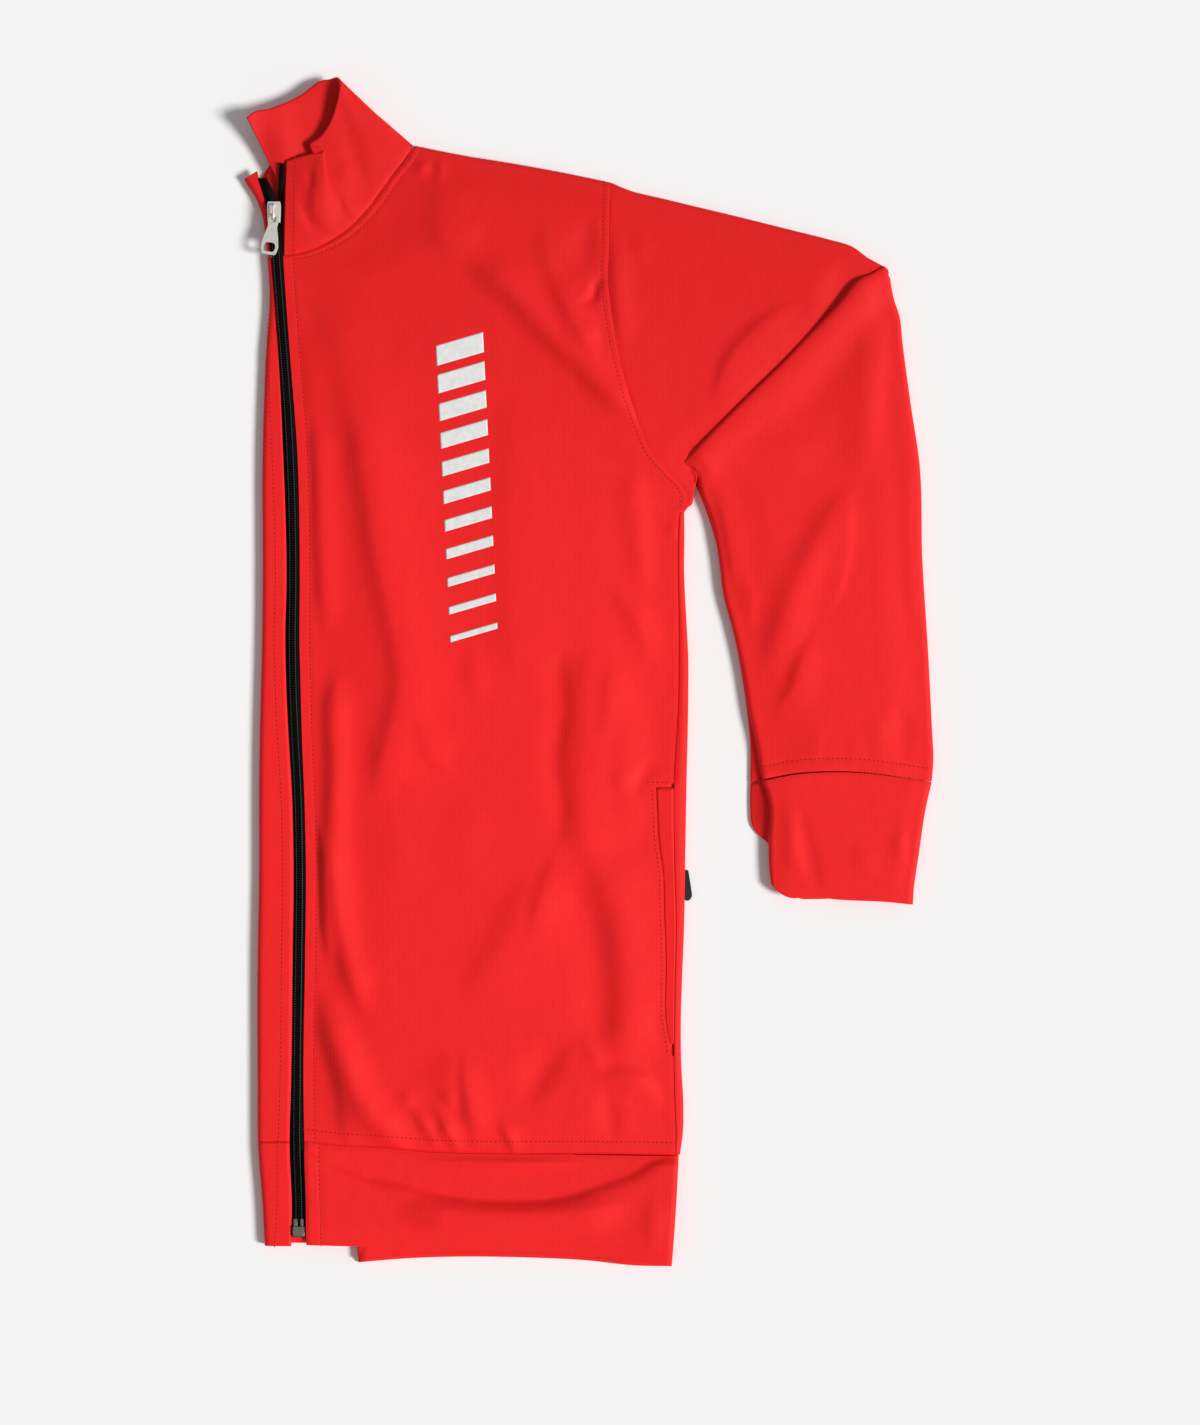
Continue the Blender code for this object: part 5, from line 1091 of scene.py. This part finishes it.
def grown(name, lines, spacing, size, material):
    """Small rounded bars at even steps along lines in mm, lying along or across them."""
    tree = bpy.data.node_groups.new(name, "GeometryNodeTree")
    face = tree.interface
    face.new_socket("Lines", in_out="INPUT", socket_type="NodeSocketGeometry")
    step = face.new_socket("Spacing", in_out="INPUT", socket_type="NodeSocketFloat")
    shape = face.new_socket("Size", in_out="INPUT", socket_type="NodeSocketVector")
    face.new_socket("Bars", in_out="OUTPUT", socket_type="NodeSocketGeometry")
    new, link = tree.nodes.new, tree.links.new
    given, result = new("NodeGroupInput"), new("NodeGroupOutput")
    curve, even = new("GeometryNodeMeshToCurve"), new("GeometryNodeResampleCurve")
    even.mode = "LENGTH"
    places = new("GeometryNodeCurveToPoints")
    places.mode = "EVALUATED"
    turn = new("FunctionNodeAlignRotationToVector")
    turn.axis = "X"
    ball, smooth = new("GeometryNodeMeshUVSphere"), new("GeometryNodeSetShadeSmooth")
    for socket, value in (("Segments", 8), ("Rings", 5), ("Radius", 0.5)):
        ball.inputs[socket].default_value = value
    set_down, real = new("GeometryNodeInstanceOnPoints"), new("GeometryNodeRealizeInstances")
    finish = new("GeometryNodeSetMaterial")
    finish.inputs["Material"].default_value = material
    link(given.outputs["Lines"], curve.inputs["Mesh"])
    link(curve.outputs["Curve"], even.inputs["Curve"])
    link(given.outputs["Spacing"], even.inputs["Length"])
    link(even.outputs["Curve"], places.inputs["Curve"])
    link(places.outputs["Tangent"], turn.inputs["Vector"])
    link(ball.outputs["Mesh"], smooth.inputs["Geometry"])
    link(places.outputs["Points"], set_down.inputs["Points"])
    link(smooth.outputs["Geometry"], set_down.inputs["Instance"])
    link(turn.outputs["Rotation"], set_down.inputs["Rotation"])
    link(given.outputs["Size"], set_down.inputs["Scale"])
    link(set_down.outputs["Instances"], real.inputs["Geometry"])
    link(real.outputs["Geometry"], finish.inputs["Geometry"])
    link(finish.outputs["Geometry"], result.inputs["Bars"])

    points, edges = [], []
    for line in lines:
        edges += [(len(points) + i, len(points) + i + 1) for i in range(len(line) - 1)]
        points += [tuple(float(v) * MM for v in p) for p in line]
    mesh = bpy.data.meshes.new(name)
    mesh.from_pydata(points, edges, [])
    source = bpy.data.objects.new(name + "_lines", mesh)
    bpy.context.scene.collection.objects.link(source)
    grow = source.modifiers.new("grow", "NODES")
    grow.node_group = tree
    grow[step.identifier] = spacing * MM
    grow[shape.identifier] = tuple(v * MM for v in size)
    bars = bpy.data.meshes.new_from_object(source.evaluated_get(bpy.context.evaluated_depsgraph_get()))
    bpy.data.objects.remove(source)
    obj = bpy.data.objects.new(name, bars)
    bpy.context.scene.collection.objects.link(obj)
    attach(obj, "jacket")
    return obj


ZIP_NYLON = hard_finish("zip_nylon", (0.0015, 0.0015, 0.002), 0.38, specular=0.12, grain=900.0)
ZIP_TAPE = hard_finish("zip_tape", (0.0022, 0.0022, 0.003), 0.8, specular=0.12, grain=1400.0, depth=0.00012,
                       stretch=(1.0, 0.35, 1.0))
ZIP_METAL = hard_finish("zip_box_metal", (0.34, 0.33, 0.30), 0.24, metallic=0.8, grain=420.0, depth=0.0005)
for name in ("zip_box", "zip_pin_left", "zip_pin_right"):
    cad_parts[name].data.materials[0] = ZIP_METAL

tape_heights = np.linspace(TAPE_END_Y, TAPE_SPLIT_Y, 60)
tape_middle = front_edge_at(tape_heights, "zip")
tape_left_rows = [(m + TAPE_GAP, front_edge_at(y, "left_edge") - SEAM_GAP, y, 0.0)
                  for m, y in zip(tape_middle, tape_heights)]
tape_narrows = TAPE_NARROWS * rise(tape_heights - 190, 60)
tape_edge = front_edge_at(tape_heights, "right_edge") + SEAM_GAP + tape_narrows
tape_right_rows = [(edge, m - TAPE_GAP, y, 0.0) for edge, m, y in zip(tape_edge, tape_middle, tape_heights)]
for name, rows in (("zip_tape_left", [*tape_left_rows, *TAPE_LEFT_TAIL]),
                   ("zip_tape_right", [*tape_right_rows, *TAPE_RIGHT_TAIL])):
    woven = [[(low, y, TAPE_TOP - TAPE_CORNER + lift), (low + TAPE_CORNER, y, TAPE_TOP + lift),
              (high - TAPE_CORNER, y, TAPE_TOP + lift), (high, y, TAPE_TOP - TAPE_CORNER + lift)]
             for low, high, y, lift in rows]
    tape = put(name + "_woven", np.array(woven).reshape(-1, 3), grid_faces(len(rows), 4), ZIP_TAPE)
    thicken(tape, TAPE_THICK)
    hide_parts(name)

coil_heights = np.linspace(COIL_LOW_Y, COIL_HIGH_Y, 60)
coil_middle = front_edge_at(coil_heights, "zip")
coil_line = list(zip(coil_middle, coil_heights))
tooth_z = COIL_TOP - TOOTH[2] / 2
tooth_lines = []
for side in (-1, 1):
    shift = side * TOOTH_PITCH / 4
    tooth_lines.append([(x + side * TOOTH_OVERLAP, y + shift, tooth_z) for x, y in coil_line])
for line in OPEN_COILS:
    tooth_lines.append([(x, y, tooth_z + lift) for x, y, lift in line])
teeth = grown("zip_teeth", tooth_lines, TOOTH_PITCH, TOOTH, ZIP_NYLON)
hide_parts("zip_coil", "zip_coil_open_left", "zip_coil_open_right")

core_points = [(x + across, y, z) for x, y in coil_line for across, z in CORE_SECTION]
core_faces = grid_faces(len(coil_line), len(CORE_SECTION))
put("zip_coil_core", core_points, core_faces, ZIP_NYLON)
thread_lines = [[(x + side * THREAD_OFFSET, y, COIL_TOP - 0.05) for x, y in coil_line] for side in (-1, 1)]
ZIP_THREAD = hard_finish("zip_thread", (0.10, 0.10, 0.12), 0.6, specular=0.3)
grown("zip_coil_thread", thread_lines, TOOTH_PITCH, THREAD_STITCH, ZIP_THREAD)

# Slider, pull and pocket puller.
# The slider and its pull are die-cast and nickel plated. The pocket zip's puller is black
# moulded rubber.
NICKEL = hard_finish("nickel", (0.86, 0.83, 0.77), 0.3, metallic=0.4, grain=260.0, depth=0.00006)
RUBBER = hard_finish("puller_rubber", (0.012, 0.012, 0.013), 0.6, specular=0.4, grain=600.0, depth=0.00008)
for name, material in (("zip_slider", NICKEL), ("zip_pull", NICKEL), ("pocket_puller", RUBBER)):
    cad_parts[name].data.materials[0] = material

# Chest print.
# A column of plain slanted bars in white transfer film down the left chest, shorter from the
# top to the bottom. It follows the folds of the cloth.
BAR_COUNT = 11
BAR_LINE = ((-84.5, 210.5), (-75.5, 26.5))
BAR_HALF_WIDTH = 15.5
BAR_HEIGHTS = (13.0, 4.0)
BAR_SLANT = 0.24
BAR_STEPS = 32
FILM = 0.12


def front_at(x, y):
    """The height of the left front's face at a place, in mm."""
    return front_tree.ray_cast(Vector((x, y, 100.0)), Vector((0.0, 0.0, -1.0)))[0].z


print_film = hard_finish("print_film", (0.88, 0.88, 0.87), 0.5, specular=0.4, grain=260.0, depth=0.0001)
front_faces = grid_faces(*front_surface.shape[:2])
front_tree = BVHTree.FromPolygons(front_surface.reshape(-1, 3).tolist(), front_faces)
bar_top, bar_bottom = np.array(BAR_LINE)
down = (bar_bottom - bar_top) / np.linalg.norm(bar_bottom - bar_top)
across = np.array([-down[1], down[0]])
film_points, film_faces = [], []
for i in range(BAR_COUNT):
    share = i / (BAR_COUNT - 1)
    centre = (1 - share) * bar_top + share * bar_bottom
    tall = (1 - share) * BAR_HEIGHTS[0] + share * BAR_HEIGHTS[1]
    rows = max(4, round(tall)) + 1
    first = len(film_points)
    for v in np.linspace(tall / 2, -tall / 2, rows):
        for u in np.linspace(-BAR_HALF_WIDTH, BAR_HALF_WIDTH, BAR_STEPS):
            x, y = centre + across * u - down * (v + BAR_SLANT * u)
            film_points.append((x, y, front_at(x, y) + FILM))
    film_faces += [[first + k for k in face[::-1]] for face in grid_faces(rows, BAR_STEPS)]
thicken(put("chest_bars", film_points, film_faces, print_film), FILM * 0.9)

# Sewing.
# The topstitching is lockstitch in red polyester thread, about nine stitches to the inch. It
# holds down the seam allowances and the turned edges, and sinks a little into the cloth.
STITCH = (1.8, 0.7, 0.5)
STITCH_SPACING = 2.9
STITCH_LIFT = 0.02
BAR_TACK_Y = -71.0
# The thread's red is half as bright as the cloth's: partly its own colour, partly painted shade for the
# groove and needle holes it lies in.
thread = hard_finish("red_thread_with_painted_shade", (0.44, 0.005, 0.007), 0.5, specular=0.3, grain=900.0)
sewing.append([(x, BAR_TACK_Y, front_at(x, BAR_TACK_Y)) for x in (38.0, 41.0, 44.0, 47.0, 50.0)])
stitch_lines = [[(x, y, z + STITCH_LIFT) for x, y, z in line] for line in sewing if len(line) > 1]
grown("topstitching", stitch_lines, STITCH_SPACING, STITCH, thread)

# Surface, lights and camera.
# The jacket lies on a plain pale surface. One broad light comes from the right, low enough to
# draw the folds, with even light all round, and the camera looks straight down.
SURFACE_TINT = (0.90, 0.90, 0.90, 1.0)
SURFACE_ROUGHNESS = 0.9
SURFACE_HALF = 6.0
stage_mesh = bpy.data.meshes.new("floor")
shape = bmesh.new()
bmesh.ops.create_grid(shape, x_segments=1, y_segments=1, size=SURFACE_HALF)
shape.to_mesh(stage_mesh)
shape.free()
floor = bpy.data.objects.new("floor", stage_mesh)
bpy.context.scene.collection.objects.link(floor)
paper = bpy.data.materials.new("pale_surface")
paper.use_nodes = True
paper_shader = paper.node_tree.nodes["Principled BSDF"]
paper_shader.inputs["Base Color"].default_value = SURFACE_TINT
paper_shader.inputs["Roughness"].default_value = SURFACE_ROUGHNESS
stage_mesh.materials.append(paper)

LIGHT_AZIMUTH = math.radians(-16)
LIGHT_HEIGHT = math.radians(40)
LIGHT_SPREAD = math.radians(16)
LIGHT_ENERGY = 3.45
WORLD_STRENGTH = 0.30
light = bpy.data.lights.new("soft_light", "SUN")
light.angle = LIGHT_SPREAD
light.energy = LIGHT_ENERGY
soft_light = bpy.data.objects.new("soft_light", light)
level = math.cos(LIGHT_HEIGHT)
towards = Vector((math.cos(LIGHT_AZIMUTH) * level, math.sin(LIGHT_AZIMUTH) * level, math.sin(LIGHT_HEIGHT)))
soft_light.rotation_euler = towards.to_track_quat("Z", "Y").to_euler()
bpy.context.scene.collection.objects.link(soft_light)
world = bpy.data.worlds.new("studio")
world.use_nodes = True
background = world.node_tree.nodes["Background"]
background.inputs["Color"].default_value = (1.0, 1.0, 1.0, 1.0)
background.inputs["Strength"].default_value = WORLD_STRENGTH
bpy.context.scene.world = world
bpy.context.scene.view_settings.view_transform = "Standard"

CAMERA_CENTRE = (6.5, -25.5)
CAMERA_HEIGHT = 2195.0
camera_data = bpy.data.cameras.new("camera")
camera_data.lens = 85.0
camera_data.sensor_width = 36.0
camera = bpy.data.objects.new("camera", camera_data)
camera.location = (CAMERA_CENTRE[0] * MM, CAMERA_CENTRE[1] * MM, CAMERA_HEIGHT * MM)
bpy.context.scene.collection.objects.link(camera)
bpy.context.scene.camera = camera
